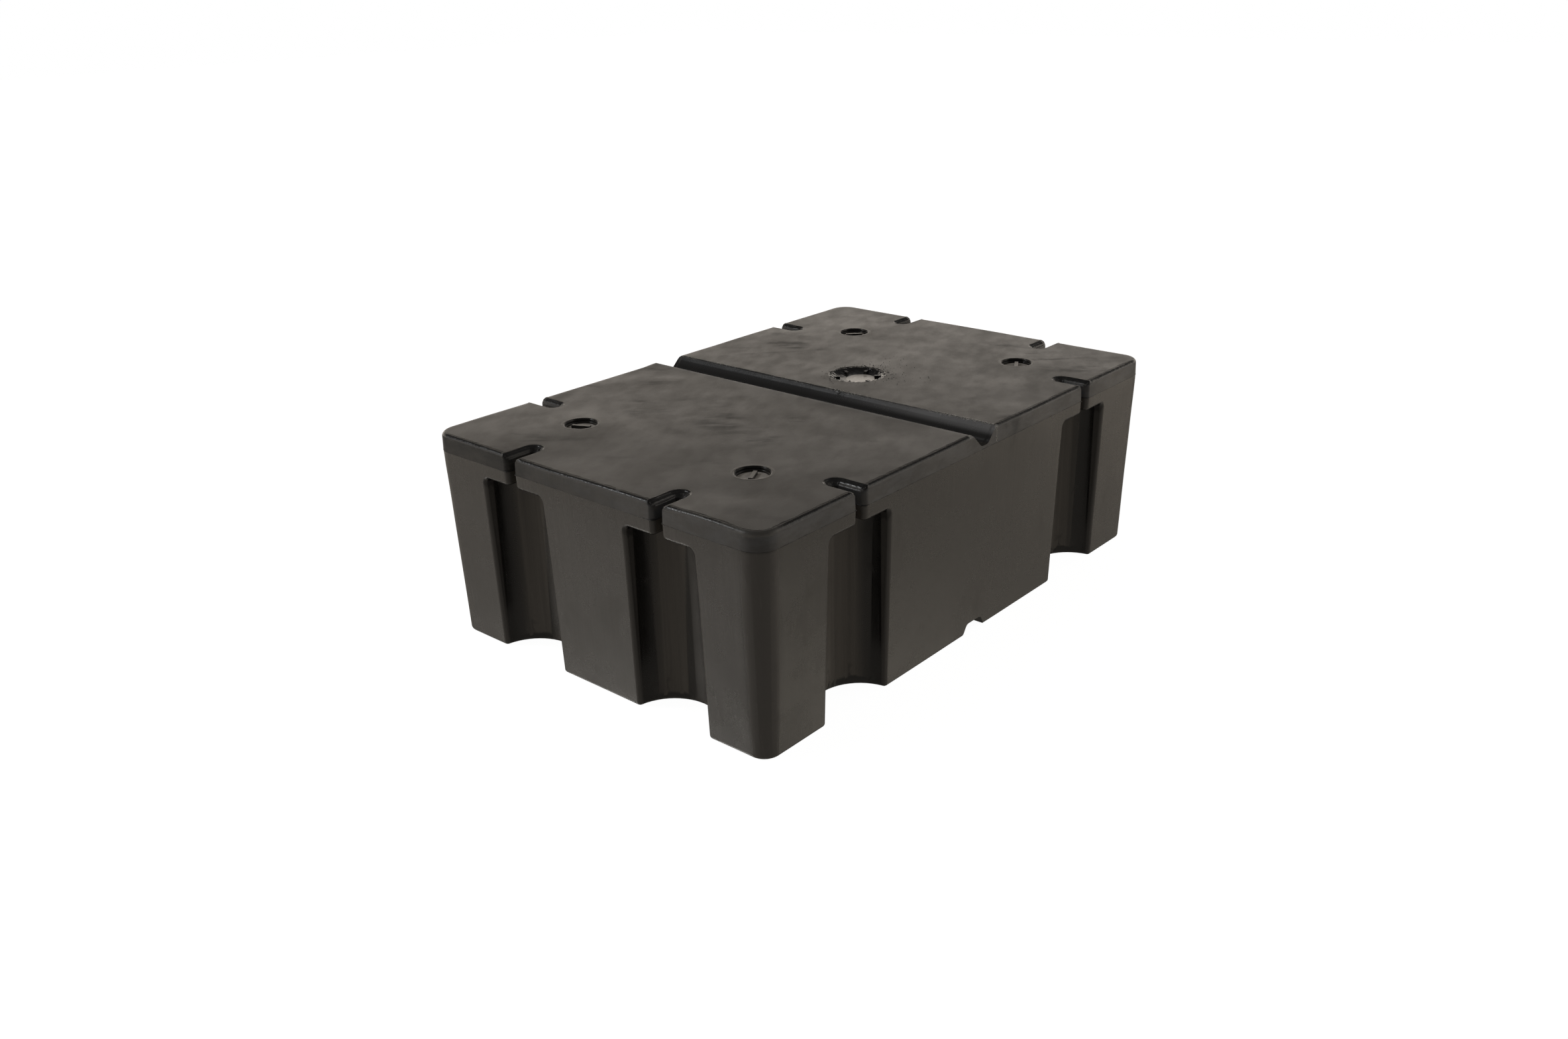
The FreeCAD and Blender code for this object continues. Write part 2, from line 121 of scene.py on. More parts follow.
# Marks at places of their own: a knocked corner, chips by the filling plug, and smudges with their reach.
KNOCKED_CORNER = (-0.448, -0.296, 0.3025)
CHIPPED_Y = -0.035
DARK_SMUDGES = [
    ((-0.184, 0.008), 0.050),
    ((-0.207, 0.130), 0.045),
    ((-0.204, -0.083), 0.040),
    ((0.183, 0.188), 0.035),
]


# Node trees

class Nodes:
    """Puts nodes in a tree. An input is a plain value or another node's output."""

    def __init__(self, tree):
        self.tree = tree

    def put(self, value, socket):
        if isinstance(value, bpy.types.NodeSocket):
            self.tree.links.new(value, socket)
        else:
            socket.default_value = value

    def add(self, kind, inputs=None, **settings):
        node = self.tree.nodes.new(kind)
        for name, value in settings.items():
            setattr(node, name, value)
        for key, value in (inputs or {}).items():
            self.put(value, node.inputs[key])
        return node

    def result(self, kind, inputs=None, **settings):
        """The first output of a new node."""
        return self.add(kind, inputs, **settings).outputs[0]

    def math(self, operation, a, b=0.5, clamp=False):
        return self.result("ShaderNodeMath", {0: a, 1: b}, operation=operation, use_clamp=clamp)

    def chain(self, operation, values):
        total = values[0]
        for value in values[1:]:
            total = self.math(operation, total, value)
        return total

    def times(self, *values):
        return self.chain("MULTIPLY", values)

    def plus(self, *values):
        return self.chain("ADD", values)

    def most(self, *values):
        return self.chain("MAXIMUM", values)

    def less(self, a, b, clamp=False):
        return self.math("SUBTRACT", a, b, clamp)

    def rest(self, share):
        """What a share leaves of 1."""
        return self.math("SUBTRACT", 1.0, share)

    def over(self, value):
        """1 over a value."""
        return self.math("DIVIDE", 1.0, value)

    def size(self, value):
        """A value without its sign."""
        return self.math("ABSOLUTE", value)

    def ramp(self, value, low, high, to_low=0.0, to_high=1.0):
        """The value from low to high, brought smoothly to the new range."""
        inputs = {"Value": value, "From Min": low, "From Max": high, "To Min": to_low, "To Max": to_high}
        return self.add("ShaderNodeMapRange", inputs, interpolation_type="SMOOTHSTEP").outputs["Result"]

    def noise(self, vector, scale, detail=4.0, roughness=0.55, distortion=0.0):
        inputs = {"Vector": vector, "Scale": scale, "Detail": detail, "Roughness": roughness,
                  "Distortion": distortion}
        return self.add("ShaderNodeTexNoise", inputs).outputs["Fac"]

    def drawn_noise(self, vector, sizes, turn=0.0, **settings):
        """Noise whose marks have these sizes along axes turned about Z, in degrees."""
        inputs = {"Vector": vector, "Scale": sizes, "Rotation": (0.0, 0.0, math.radians(turn))}
        drawn = self.add("ShaderNodeMapping", inputs, vector_type="TEXTURE").outputs["Vector"]
        return self.noise(drawn, 1.0, **settings)

    def mix(self, factor, a, b):
        node = self.add("ShaderNodeMix", data_type="RGBA", blend_type="MIX")
        for index, value in ((0, factor), (6, a), (7, b)):
            self.put(value, node.inputs[index])
        return node.outputs[2]

    def vector(self, operation, a, b, output=0):
        return self.add("ShaderNodeVectorMath", {0: a, 1: b}, operation=operation).outputs[output]

    def distance(self, a, b):
        return self.vector("DISTANCE", a, b, "Value")

    def join(self, x=0.0, y=0.0, z=0.0):
        return self.result("ShaderNodeCombineXYZ", {"X": x, "Y": y, "Z": z})

    def parts(self, vector):
        return self.add("ShaderNodeSeparateXYZ", {0: vector}).outputs

    def facing(self):
        """The way that the surface faces, as outputs X, Y and Z."""
        return self.parts(self.add("ShaderNodeNewGeometry").outputs["Normal"])

    def camera_ray(self):
        return self.add("ShaderNodeLightPath").outputs["Is Camera Ray"]

    def attribute(self, name):
        return self.add("ShaderNodeAttribute", attribute_name=name).outputs["Fac"]

    def bump(self, height, distance, strength=1.0, normal=None):
        inputs = {"Height": height, "Distance": distance, "Strength": strength}
        if normal is not None:
            inputs["Normal"] = normal
        return self.add("ShaderNodeBump", inputs).outputs["Normal"]

    def group(self, tree, **values):
        """Places a group. Its input names are given with underscores for spaces."""
        node = self.add("ShaderNodeGroup", node_tree=tree)
        for name, value in values.items():
            self.put(value, node.inputs[name.replace("_", " ")])
        return node.outputs


def new_tree(name, kind, inputs, outputs):
    """An empty node tree with named inputs and outputs, and its two end nodes."""
    tree = bpy.data.node_groups.new(name, kind)
    for label, socket_type, value in inputs:
        socket = tree.interface.new_socket(label, in_out="INPUT", socket_type=f"NodeSocket{socket_type}")
        if value is not None:
            socket.default_value = value
    for label, socket_type in outputs:
        tree.interface.new_socket(label, in_out="OUTPUT", socket_type=f"NodeSocket{socket_type}")
    given = tree.nodes.new("NodeGroupInput").outputs
    out = tree.nodes.new("NodeGroupOutput").inputs
    return tree, Nodes(tree), given, out


# Shader groups that more than one material uses

def mottle_group():
    """Soft clouds of lighter and darker plastic, and a fine grain, about 0.5."""
    tree, n, given, out = new_tree(
        "moulded_mottle", "ShaderNodeTree",
        [("Vector", "Vector", None), ("Cloud Size", "Float", 0.12), ("Grain Size", "Float", 0.002)],
        [("Clouds", "Float"), ("Grain", "Float")],
    )
    cloud_scale = n.over(given["Cloud Size"])
    broad = n.noise(given["Vector"], cloud_scale, detail=5.0, roughness=0.6, distortion=0.6)
    close = n.noise(given["Vector"], n.times(cloud_scale, 4.7), detail=4.0, roughness=0.6)
    n.put(n.plus(n.times(broad, 0.7), n.times(close, 0.3)), out["Clouds"])
    n.put(n.noise(given["Vector"], n.over(given["Grain Size"]), detail=3.0, roughness=0.7), out["Grain"])
    return tree


def scuff_group():
    """Fine scratches that run one way and show only in patches."""
    tree, n, given, out = new_tree(
        "handling_scuffs", "ShaderNodeTree",
        [("Vector", "Vector", None), ("Length", "Float", 0.06), ("Width", "Float", 0.0012),
         ("Turn", "Float", 0.4), ("Amount", "Float", 0.5)],
        [("Scuffs", "Float")],
    )
    turn = {"Vector": given["Vector"], "Angle": given["Turn"]}
    turned = n.result("ShaderNodeVectorRotate", turn, rotation_type="Z_AXIS")
    along = n.over(given["Length"])
    drawn = n.vector("MULTIPLY", turned, n.join(along, n.over(given["Width"]), along))
    lines = n.ramp(n.noise(drawn, 1.0, detail=2.0, roughness=0.5), 0.60, 0.74)
    patches = n.ramp(n.noise(given["Vector"], 9.0, detail=4.0, roughness=0.65, distortion=0.8), 0.5, 0.66)
    n.put(n.times(lines, patches, given["Amount"]), out["Scuffs"])
    return tree


def worn_edge_group():
    """Breaks an even mask along an edge up into chips and rubbed stretches."""
    tree, n, given, out = new_tree(
        "worn_edge", "ShaderNodeTree",
        [("Vector", "Vector", None), ("Edge", "Float", 0.0), ("Chip Size", "Float", 0.006),
         ("Cover", "Float", 0.5)],
        [("Worn", "Float")],
    )
    chips = n.noise(given["Vector"], n.over(given["Chip Size"]), detail=5.0, roughness=0.75)
    stretches = n.noise(given["Vector"], 14.0, detail=3.0, roughness=0.6)
    broken = n.plus(n.times(chips, 0.6), n.times(stretches, 0.4))
    least = n.plus(n.rest(given["Cover"]), 0.75)
    over = n.less(n.plus(n.times(given["Edge"], 0.9), broken), least)
    n.put(n.math("MULTIPLY", over, 5.0, clamp=True), out["Worn"])
    return tree


MOTTLE = mottle_group()
SCUFFS = scuff_group()
WORN_EDGE = worn_edge_group()


def empty_material(name):
    material = bpy.data.materials.new(name)
    material.use_nodes = True
    material.node_tree.nodes.clear()
    return material, Nodes(material.node_tree)


def new_material(name):
    """A material with only its output and its Principled shader, and the object's own coordinates."""
    material, n = empty_material(name)
    shader = n.add("ShaderNodeBsdfPrincipled")
    n.add("ShaderNodeOutputMaterial", {"Surface": shader.outputs["BSDF"]})
    place = n.add("ShaderNodeTexCoord").outputs["Object"]
    return material, n, shader.inputs, place


# The moulded skin

def smooth(value, low, high):
    """0 at low, 1 at high, with a smooth run between. Works on arrays."""
    share = np.clip((value - low) / (high - low), 0.0, 1.0)
    return share * share * (3.0 - 2.0 * share)


def bump_at(x, y, middle, reach_x, reach_y):
    """A soft hump of height 1 on the deck."""
    return np.exp(-((x - middle[0]) / reach_x) ** 2 - ((y - middle[1]) / reach_y) ** 2)


def waviness(co, size, seed):
    """Smooth noise from about -1 to 1 at each point."""
    shift = Vector((seed * 7.31, seed * 3.17, seed * 5.73))
    return np.array([noise.noise(Vector(p) / size + shift) for p in co])


def near_ports(x, y):
    """1 on and beside the seats of the plugs, 0 away from them."""
    mask = np.zeros(len(x))
    seats = [(place, SMALL_FLANGE) for place in SMALL_PLUGS.values()] + [(FILL_PLUG, FILL_FLANGE)]
    for (px, py), radius in seats:
        away = np.hypot(x - px, y - py)
        mask = np.maximum(mask, 1.0 - smooth(away, radius + 0.002, radius + 0.040))
    return mask


# Where the deck sags further, and where it holds itself up: a middle, the reach along X and Y, and a share.
DENT = ((-0.45, 0.08), 0.10, 0.09)
DENT_DEPTH = 0.0022
HELD_UP = [((-0.03, -0.30), 0.09, 0.10, 0.9), ((-0.46, -0.215), 0.07, 0.05, 0.8)]


def warped(co):
    """The drum as it left its mould: walls a little hollow, deck a little slack. Only ever inwards."""
    x, y, z = co.T
    moved = co.copy()
    broad = waviness(co, 0.26, 1)
    close = waviness(co, 0.075, 2)
    slack = 0.5 + 0.5 * broad
    hollow_wall = FLASH_ROOM + WALL_SLACK * slack * (1.0 - smooth(z, 0.20, 0.26))
    hollow_wall += WALL_RIPPLE * (1.0 + close)
    moved[:, 0] -= np.sign(x) * hollow_wall * smooth(np.abs(x), 0.36, 0.42)
    moved[:, 1] -= np.sign(y) * hollow_wall * smooth(np.abs(y), 0.21, 0.27)
    sag = DECK_SLACK * (0.6 + 0.4 * broad)
    sag += DENT_DEPTH * bump_at(x, y, *DENT)
    for middle, reach_x, reach_y, share in HELD_UP:
        sag *= 1.0 - share * bump_at(x, y, middle, reach_x, reach_y)
    sag *= 1.0 - 0.75 * smooth(x, -0.062, -0.032) * (1.0 - smooth(x, -0.026, 0.0))
    beside = near_ports(x, y)
    sag = PORT_SINK * beside + (sag + DECK_RIPPLE * (1.0 + close)) * (1.0 - beside)
    moved[:, 2] -= sag * smooth(z, PARTING, PARTING + 0.012)
    return moved


def cut_into_cells(cells):
    """Cuts the skin along a square grid, so that its flat faces can bend."""
    for axis, low, high in ((0, -HALF_LENGTH, HALF_LENGTH), (1, -HALF_WIDTH, HALF_WIDTH), (2, 0.0, DECK)):
        normal = Vector([1.0 if i == axis else 0.0 for i in range(3)])
        for step in range(1, math.ceil((high - low) / CELL)):
            everything = list(cells.verts) + list(cells.edges) + list(cells.faces)
            place = normal * (low + step * CELL)
            bmesh.ops.bisect_plane(cells, geom=everything, plane_co=place, plane_no=normal, dist=CUT)


def swell_slot_sides(cells):
    """Makes the sloping sides of the slots bulge, so that each reads as one soft rounding."""
    def heights(faces):
        return [vert.co.z for face in faces for vert in face.verts]

    def sloping():
        """The faces at the sides' slope, but for the groove's own near the middle of the drum."""
        return [face for face in cells.faces
                if abs(face.normal.z - SIDE_SLOPE) < 0.004 and abs(face.calc_center_median().x) > 0.05]

    sides = [face for face in sloping() if max(heights([face])) - min(heights([face])) > 0.0015]
    low, high = min(heights(sides)), max(heights(sides))
    for step in range(1, SWELL_STEPS):
        geometry = [*sides, *{e for f in sides for e in f.edges}, *{v for f in sides for v in f.verts}]
        place = (0.0, 0.0, low + (high - low) * step / SWELL_STEPS)
        bmesh.ops.bisect_plane(cells, geom=geometry, plane_co=place, plane_no=(0.0, 0.0, 1.0), dist=CUT)
        sides = [f for f in sloping() if min(heights([f])) > low - 1e-5 and max(heights([f])) < high + 1e-5]
    facing = {}
    for face in sides:
        for vert in face.verts:
            facing[vert] = facing.get(vert, Vector()) + face.normal
    for vert, normal in facing.items():
        share = min(1.0, max(0.0, (vert.co.z - low) / (high - low)))
        vert.co += normal.normalized() * SWELL * 4.0 * share * (1.0 - share)
    cells.normal_update()


def is_flat(normal):
    """Whether a face belongs to the deck, the bottom, an outer wall or a slope of the groove."""
    level = abs(normal.z) > 0.9999
    wall = abs(normal.z) < 0.03 and max(abs(normal.x), abs(normal.y)) > 0.9995
    slope = abs(normal.y) < 0.001 and abs(abs(normal.x) - abs(normal.z)) < 0.002
    return level or wall or slope


def curvature(cells):
    """How sharply the skin turns outwards or inwards at each vertex. 1 is as sharp as the edge rounding."""
    outward = np.zeros(len(cells.verts))
    inward = np.zeros(len(cells.verts))
    for edge in cells.edges:
        if len(edge.link_faces) != 2 or edge.calc_length() < CUT:
            continue
        angle = edge.calc_face_angle_signed(0.0)
        if abs(angle) > SMOOTH_ANGLE or abs(angle) < 0.01:
            continue
        breadth = sum(face.calc_area() for face in edge.link_faces) / (2.0 * edge.calc_length())
        turn = min(1.0, abs(angle) / max(breadth, 2e-4) * EDGE_RADIUS)
        side = outward if angle > 0 else inward
        for vert in edge.verts:
            side[vert.index] = max(side[vert.index], turn)

    # Evened out along short edges, then cleared where the skin is flat.
    close = np.array([[v.index for v in e.verts] for e in cells.edges if e.calc_length() < CLOSE_BY])
    for _ in range(4):
        for side in (outward, inward):
            total = side.copy()
            count = np.ones(len(side))
            for here, there in (close.T, close.T[::-1]):
                np.add.at(total, here, side[there])
                np.add.at(count, here, 1.0)
            side[:] = total / count
    for face in cells.faces:
        if is_flat(face.normal):
            for vert in face.verts:
                outward[vert.index] = inward[vert.index] = 0.0
    return {"outward": outward, "inward": inward}


def parting_path(cells):
    """The closed line along which the two mould halves met, as a mesh of edges."""
    level = [e for e in cells.edges if all(abs(v.co.z - PARTING) < 2e-5 for v in e.verts)]
    outer = [e for e in level if any(abs(f.normal.z) < 0.5 for f in e.link_faces)]
    verts = {}
    for edge in outer:
        for vert in edge.verts:
            verts.setdefault(vert, len(verts))
    ends = [(verts[e.verts[0]], verts[e.verts[1]]) for e in outer]
    path = bpy.data.meshes.new("parting_path")
    path.from_pydata([tuple(v.co) for v in verts], ends, [])
    return path


def keep_values(mesh, name, values):
    """Keeps one number for each vertex of a mesh under a name."""
    mesh.attributes.new(name, "FLOAT", "POINT").data.foreach_set("value", np.array(values, np.float32))


def mark_sharp_edges(cells):
    for edge in cells.edges:
        edge.smooth = edge.calc_face_angle(0.0) < SMOOTH_ANGLE


def make_skin():
    """The skin's mesh, and the path of its parting line."""
    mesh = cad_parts["drum_body"].data.copy()
    cells = bmesh.new()
    cells.from_mesh(mesh)
    bmesh.ops.remove_doubles(cells, verts=cells.verts, dist=5e-6)
    bmesh.ops.dissolve_degenerate(cells, dist=2e-5, edges=cells.edges)
    bmesh.ops.dissolve_limit(cells, angle_limit=math.radians(0.05), verts=cells.verts, edges=cells.edges,
                             delimit={"NORMAL"})
    cut_into_cells(cells)
    swell_slot_sides(cells)
    cells.verts.index_update()
    turns = curvature(cells)
    mark_sharp_edges(cells)
    places = warped(np.array([v.co for v in cells.verts]))
    for vert, place in zip(cells.verts, places):
        vert.co = place
    path = parting_path(cells)
    cells.to_mesh(mesh)
    cells.free()
    mesh.materials.clear()
    for name, values in turns.items():
        keep_values(mesh, name, values)
    return mesh, path


def new_piece(name, mesh, *materials):
    piece = bpy.data.objects.new(name, mesh)
    bpy.context.scene.collection.objects.link(piece)
    for material in materials:
        mesh.materials.append(material)
    return piece


def bake_modifiers(piece):
    """Makes a piece's modifiers part of its mesh."""
    graph = bpy.context.evaluated_depsgraph_get()
    solved = piece.evaluated_get(graph)
    result = bpy.data.meshes.new_from_object(solved, preserve_all_data_layers=True, depsgraph=graph)
    piece.modifiers.clear()
    piece.data = result
    result.name = piece.name


def finish_smooth(piece):
    """Smooth shading that keeps flat faces flat and sharp edges sharp."""
    mesh = piece.data
    mesh.polygons.foreach_set("use_smooth", [True] * len(mesh.polygons))
    even = piece.modifiers.new("even_shading", "WEIGHTED_NORMAL")
    even.keep_sharp = True
    even.weight = 80
    bake_modifiers(piece)


# Materials

def outline_distance(n, place, inset=0.0):
    """How far a point lies outside the drum's outline, drawn in by an inset. It is negative inside."""
    place = n.parts(place)
    corner = CORNER_RADIUS - inset
    over_x = n.less(n.size(place["X"]), HALF_LENGTH - inset - corner)
    over_y = n.less(n.size(place["Y"]), HALF_WIDTH - inset - corner)
    outside = n.distance(n.join(n.most(over_x, 0.0), n.most(over_y, 0.0)), (0.0, 0.0, 0.0))
    inside = n.math("MINIMUM", n.most(over_x, over_y), 0.0)
    return n.less(n.plus(outside, inside), corner)


def skin_regions(n, place):
    """The parts of the skin, each as a mask from 0 to 1, with the coordinates that they come from."""
    facing = n.facing()
    s = SimpleNamespace(place=place, facing=facing)
    spot = n.parts(place)
    s.x, s.y, s.height = spot["X"], spot["Y"], spot["Z"]
    s.upward = n.ramp(facing["Z"], 0.90, 0.995)
    s.wall = n.ramp(n.size(facing["Z"]), 0.6, 0.3)
    s.band = n.times(n.ramp(s.height, PARTING - 0.0004, PARTING + 0.0004), s.wall)
    outward = n.attribute("outward")
    # Painted shade: concave creases are darkened towards bare black.
    s.hollow = n.ramp(n.attribute("inward"), 0.2, 0.6)

    # The upright corners, and the rounding of the rim without them.
    outline = outline_distance(n, place)
    across = n.math("MINIMUM", n.size(facing["X"]), n.size(facing["Y"]))
    turned = n.times(n.ramp(across, 0.03, 0.05), n.ramp(outline, -0.016, -0.014))
    # In the colour, this mask lays painted light on the upright corners, fully below the parting line.
    s.corner = n.times(turned, s.wall, n.ramp(s.height, PARTING, PARTING - 0.004, 0.35, 1.0))
    below_rim = n.ramp(s.height, DECK - 0.008, DECK - 0.011)
    s.rim = n.times(n.ramp(outward, 0.35, 0.75), n.rest(n.times(turned, below_rim)))

    # The flutes' insides, with their side walls and the roundings that lead to them.
    from_wall = n.plus(outline, n.ramp(s.height, PARTING, 0.0, 0.0, PARTING * WALL_DRAFT))
    s.in_flute = n.ramp(from_wall, -0.0045, -0.0065)
    below_flange = n.ramp(s.height, FLANGE_UNDERSIDE, FLANGE_UNDERSIDE - 0.004)
    rounding = n.times(n.ramp(outward, 0.25, 0.50), n.less(below_flange, turned, clamp=True))
    at_end = n.ramp(n.size(s.x), 0.395, 0.400)
    sideways = n.mix(at_end, n.size(facing["X"]), n.size(facing["Y"]))
    side = n.times(n.ramp(sideways, 0.70, 0.92), below_flange, n.ramp(from_wall, -0.003, -0.004))
    s.flute_side = n.most(rounding, side)

    # The deck's film ends in a ragged lip, and the skin falls away beyond it.
    edge = outline_distance(n, place, RIM_DRAFT + EDGE_RADIUS)
    tear = n.plus(n.times(n.noise(place, 300.0, detail=3.0, roughness=0.6), 0.0022),
                  n.times(n.noise(place, 55.0, detail=2.0), 0.0050))
    ragged = n.plus(edge, n.less(tear, 0.0036))
    s.lip = n.times(n.less(n.ramp(ragged, -0.0048, -0.0036), n.ramp(ragged, -0.0032, -0.0022)), s.upward)
    s.under_film = n.times(n.rest(n.ramp(ragged, -0.0034, 0.0010)), n.ramp(facing["Z"], 0.2, 0.6))
    s.in_slot = n.times(n.ramp(edge, 0.004, 0.001), n.ramp(s.height, PARTING, PARTING + 0.004), s.wall)
    return s


def add_skin_marks(n, s):
    """Adds the skin's clouds, streaks, smudges, scuffs and worn places to its masks."""
    mottle = n.group(MOTTLE, Vector=s.place, Cloud_Size=0.16, Grain_Size=0.0016)
    s.clouds, s.grain = mottle["Clouds"], mottle["Grain"]
    s.streaks = n.drawn_noise(s.place, (0.008, 0.008, 0.6), detail=4.0, roughness=0.6)
    blotches = n.drawn_noise(s.place, (0.045, 0.022, 0.03), 25.0, detail=4.0, roughness=0.58)
    s.blotches = n.ramp(blotches, 0.34, 0.66)
    s.scuffs = n.group(SCUFFS, Vector=s.place, Length=0.05, Width=0.0011, Turn=0.5, Amount=0.6)["Scuffs"]

    wiped = n.drawn_noise(s.place, (0.11, 0.036, 0.11), -50.0, detail=5.0, roughness=0.55, distortion=0.5)
    s.smudges = n.times(n.ramp(wiped, 0.52, 0.74), n.ramp(n.noise(s.place, 5.0, detail=3.0), 0.44, 0.64))
    for middle, reach in DARK_SMUDGES:
        around = n.ramp(n.distance(s.place, (*middle, DECK)), reach, reach * 0.3)
        s.smudges = n.most(s.smudges, n.times(around, n.ramp(wiped, 0.42, 0.60)))

    at_corner = n.ramp(n.distance(s.place, KNOCKED_CORNER), 0.050, 0.012)
    rubbed_run = n.times(n.ramp(s.x, -0.440, -0.448), n.ramp(s.y, -0.15, -0.20))
    knocked = n.most(at_corner, n.times(rubbed_run, 0.45))
    cover = n.plus(n.times(knocked, 0.40), 0.30)
    s.worn = n.group(WORN_EDGE, Vector=s.place, Edge=s.rim, Chip_Size=0.005, Cover=cover)["Worn"]

    patches = n.drawn_noise(s.place, (0.05, 0.05, 0.02), detail=4.0, roughness=0.65)
    # In patches, the band above the parting line takes a bluish tone, dark at the back and paler towards the
    # front.
    s.band_film = n.times(s.band, n.ramp(patches, 0.38, 0.62, 0.45, 1.0))
    s.handled = n.ramp(n.plus(s.y, n.times(s.clouds, 0.4)), 0.42, -0.02)


def add_groove(n, s):
    """Adds the groove's slopes, the painted sheen on their upper part, the chipped far edge and the painted
    shade along the near edge.
    """
    groove = n.times(n.ramp(n.size(s.x), GROOVE_HALF + 0.007, GROOVE_HALF + 0.004),
                     n.ramp(s.height, DECK - GROOVE_DEPTH - 0.0055, DECK - GROOVE_DEPTH - 0.0035))
    s.slope = n.times(groove, n.less(n.ramp(s.facing["Z"], 0.35, 0.55), s.upward, clamp=True))
    # Painted sheen: the upper part of the slope is lit, fading to black lower down.
    high = n.ramp(s.height, DECK - 0.016, DECK - 0.007)
    s.groove_sheen = n.times(s.slope, n.ramp(high, 0.0, 1.0, 0.05, 1.0))

    far_edge = n.ramp(n.size(n.less(s.x, GROOVE_HALF + 0.001)), 0.0034, 0.0012)
    flakes = n.ramp(n.drawn_noise(s.place, (0.0012, 0.0030, 0.0012), detail=4.0, roughness=0.7), 0.50, 0.62)
    beside_port = n.ramp(n.size(n.less(s.y, CHIPPED_Y)), 0.040, 0.012)
    here_and_there = n.ramp(n.noise(s.place, 17.0, detail=3.0), 0.42, 0.62, 0.08, 0.45)
    patches = n.most(beside_port, n.ramp(s.y, -0.16, -0.23), here_and_there)
    s.chipped = n.times(far_edge, patches, flakes, groove)

    # Painted shade on the deck along the groove's near edge, broken up in blotches.
    near_edge = n.times(n.ramp(s.x, -GROOVE_HALF - 0.021, -GROOVE_HALF - 0.002),
                        n.ramp(s.x, -GROOVE_HALF + 0.002, -GROOVE_HALF))
    s.bare_edge = n.times(near_edge, s.upward, n.ramp(s.blotches, 0.0, 1.0, 0.5, 0.9))


def skin_colour(n, s):
    """Black plastic, with each film and mark, and the painted light and shade, laid over the last."""
    cloudy = n.ramp(s.clouds, 0.34, 0.66, 0.74, 1.0)
    blotchy = n.plus(n.times(s.blotches, 0.06), 0.94)
    # Painted reflection: the deck's dust film thins towards the front, so the deck is darker near the front
    # and lighter at the back.
    painted_back_light = n.ramp(s.y, -0.30, 0.30, 0.55, 1.0)
    deck_film = n.times(s.upward, cloudy, blotchy, painted_back_light, n.rest(n.times(s.smudges, 0.65)))
    # Painted shade: the flutes' side walls and roundings keep no film and stay bare black, while the backs
    # of the flutes take a lighter colour as painted light.
    wall_film = n.times(s.wall, n.ramp(s.streaks, 0.30, 0.70, 0.62, 0.92), n.rest(s.flute_side))
    # Painted light: the end wall facing -X is made lighter towards the top.
    painted_end_light = n.times(n.ramp(s.facing["X"], -0.5, -0.9), n.ramp(s.height, 0.05, 0.23))
    flecks = n.ramp(n.noise(s.place, 240.0, detail=4.0, roughness=0.7), 0.50, 0.66, 0.0, 0.6)
    layers = [
        (deck_film, FILM),
        (wall_film, n.mix(s.in_flute, n.mix(painted_end_light, WALL_FILM, END_WALL_LIGHT), FLUTE_FILL_LIGHT)),
        (s.corner, CORNER_FILL_LIGHT),
        (s.band_film, n.mix(s.handled, DARK_BAND, PALE_BAND)),
        (n.times(s.scuffs, 0.5), RUBBED),
        (n.times(s.lip, flecks), RUBBED),
        (n.times(s.worn, 0.55), RUBBED),
        # Painted shade in concave creases.
        (n.times(s.hollow, 0.6), BLACK),
        (s.groove_sheen, n.mix(n.ramp(s.y, 0.05, -0.28), PAINTED_GROOVE_SHEEN, PAINTED_GROOVE_END_SHEEN)),
        (n.times(s.chipped, 0.8), CHIPS),
        (s.bare_edge, BLACK),
    ]
    base = BLACK
    for mask, tint in layers:
        base = n.mix(mask, base, tint)
    return base


def skin_roughness(n, s):
    """Each pair is a mask and how much duller it makes the skin."""
    changes = [
        (s.upward, n.ramp(s.blotches, 0.0, 1.0, 0.08, 0.12)),
        (s.smudges, 0.15),
        (n.less(s.grain, 0.5), 0.10),
        (s.band, n.ramp(s.handled, 0.0, 1.0, 0.30, 0.18)),
        (s.corner, 0.25),
        (s.flute_side, -0.12),
        (n.times(s.in_flute, s.wall), 0.08),
        (s.in_slot, -0.12),
    ]
    rough = n.ramp(s.clouds, 0.34, 0.66, 0.22, 0.32)
    for mask, change in changes:
        rough = n.plus(rough, n.times(mask, change))
    return n.math("ADD", rough, n.times(s.worn, 0.15), clamp=True)


def skin_relief(n, s):
    """Each row is a height, how far it stands out in metres, and its strength."""
    root = n.times(s.slope, n.ramp(s.height, DECK - 0.007, DECK - 0.018))
    rows = [
        (n.noise(s.place, 14.0, detail=1.0), 0.0030, 0.22),
        (n.times(s.streaks, s.wall), 0.00016, 0.6),
        (n.times(n.noise(s.place, 120.0, detail=3.0), s.rim), 0.0010, 0.7),
        (n.plus(s.under_film, n.times(s.chipped, 0.4)), 0.0007, 1.0),
        (root, 0.0034, 1.0),
        (s.grain, 0.0002, 0.3),
    ]
    normal = None
    for height, distance, strength in rows:
        normal = n.bump(height, distance, strength, normal)
    return normal


def make_skin_material():
    """Black moulded plastic under a thin brown film, with smudges, streaks, rubbed edges, and painted light
    and shade.
    """
    material, n, shader, place = new_material("moulded_black")
    s = skin_regions(n, place)
    add_skin_marks(n, s)
    add_groove(n, s)
    n.put(skin_colour(n, s), shader["Base Color"])
    n.put(skin_roughness(n, s), shader["Roughness"])
    n.put(skin_relief(n, s), shader["Normal"])
    return material


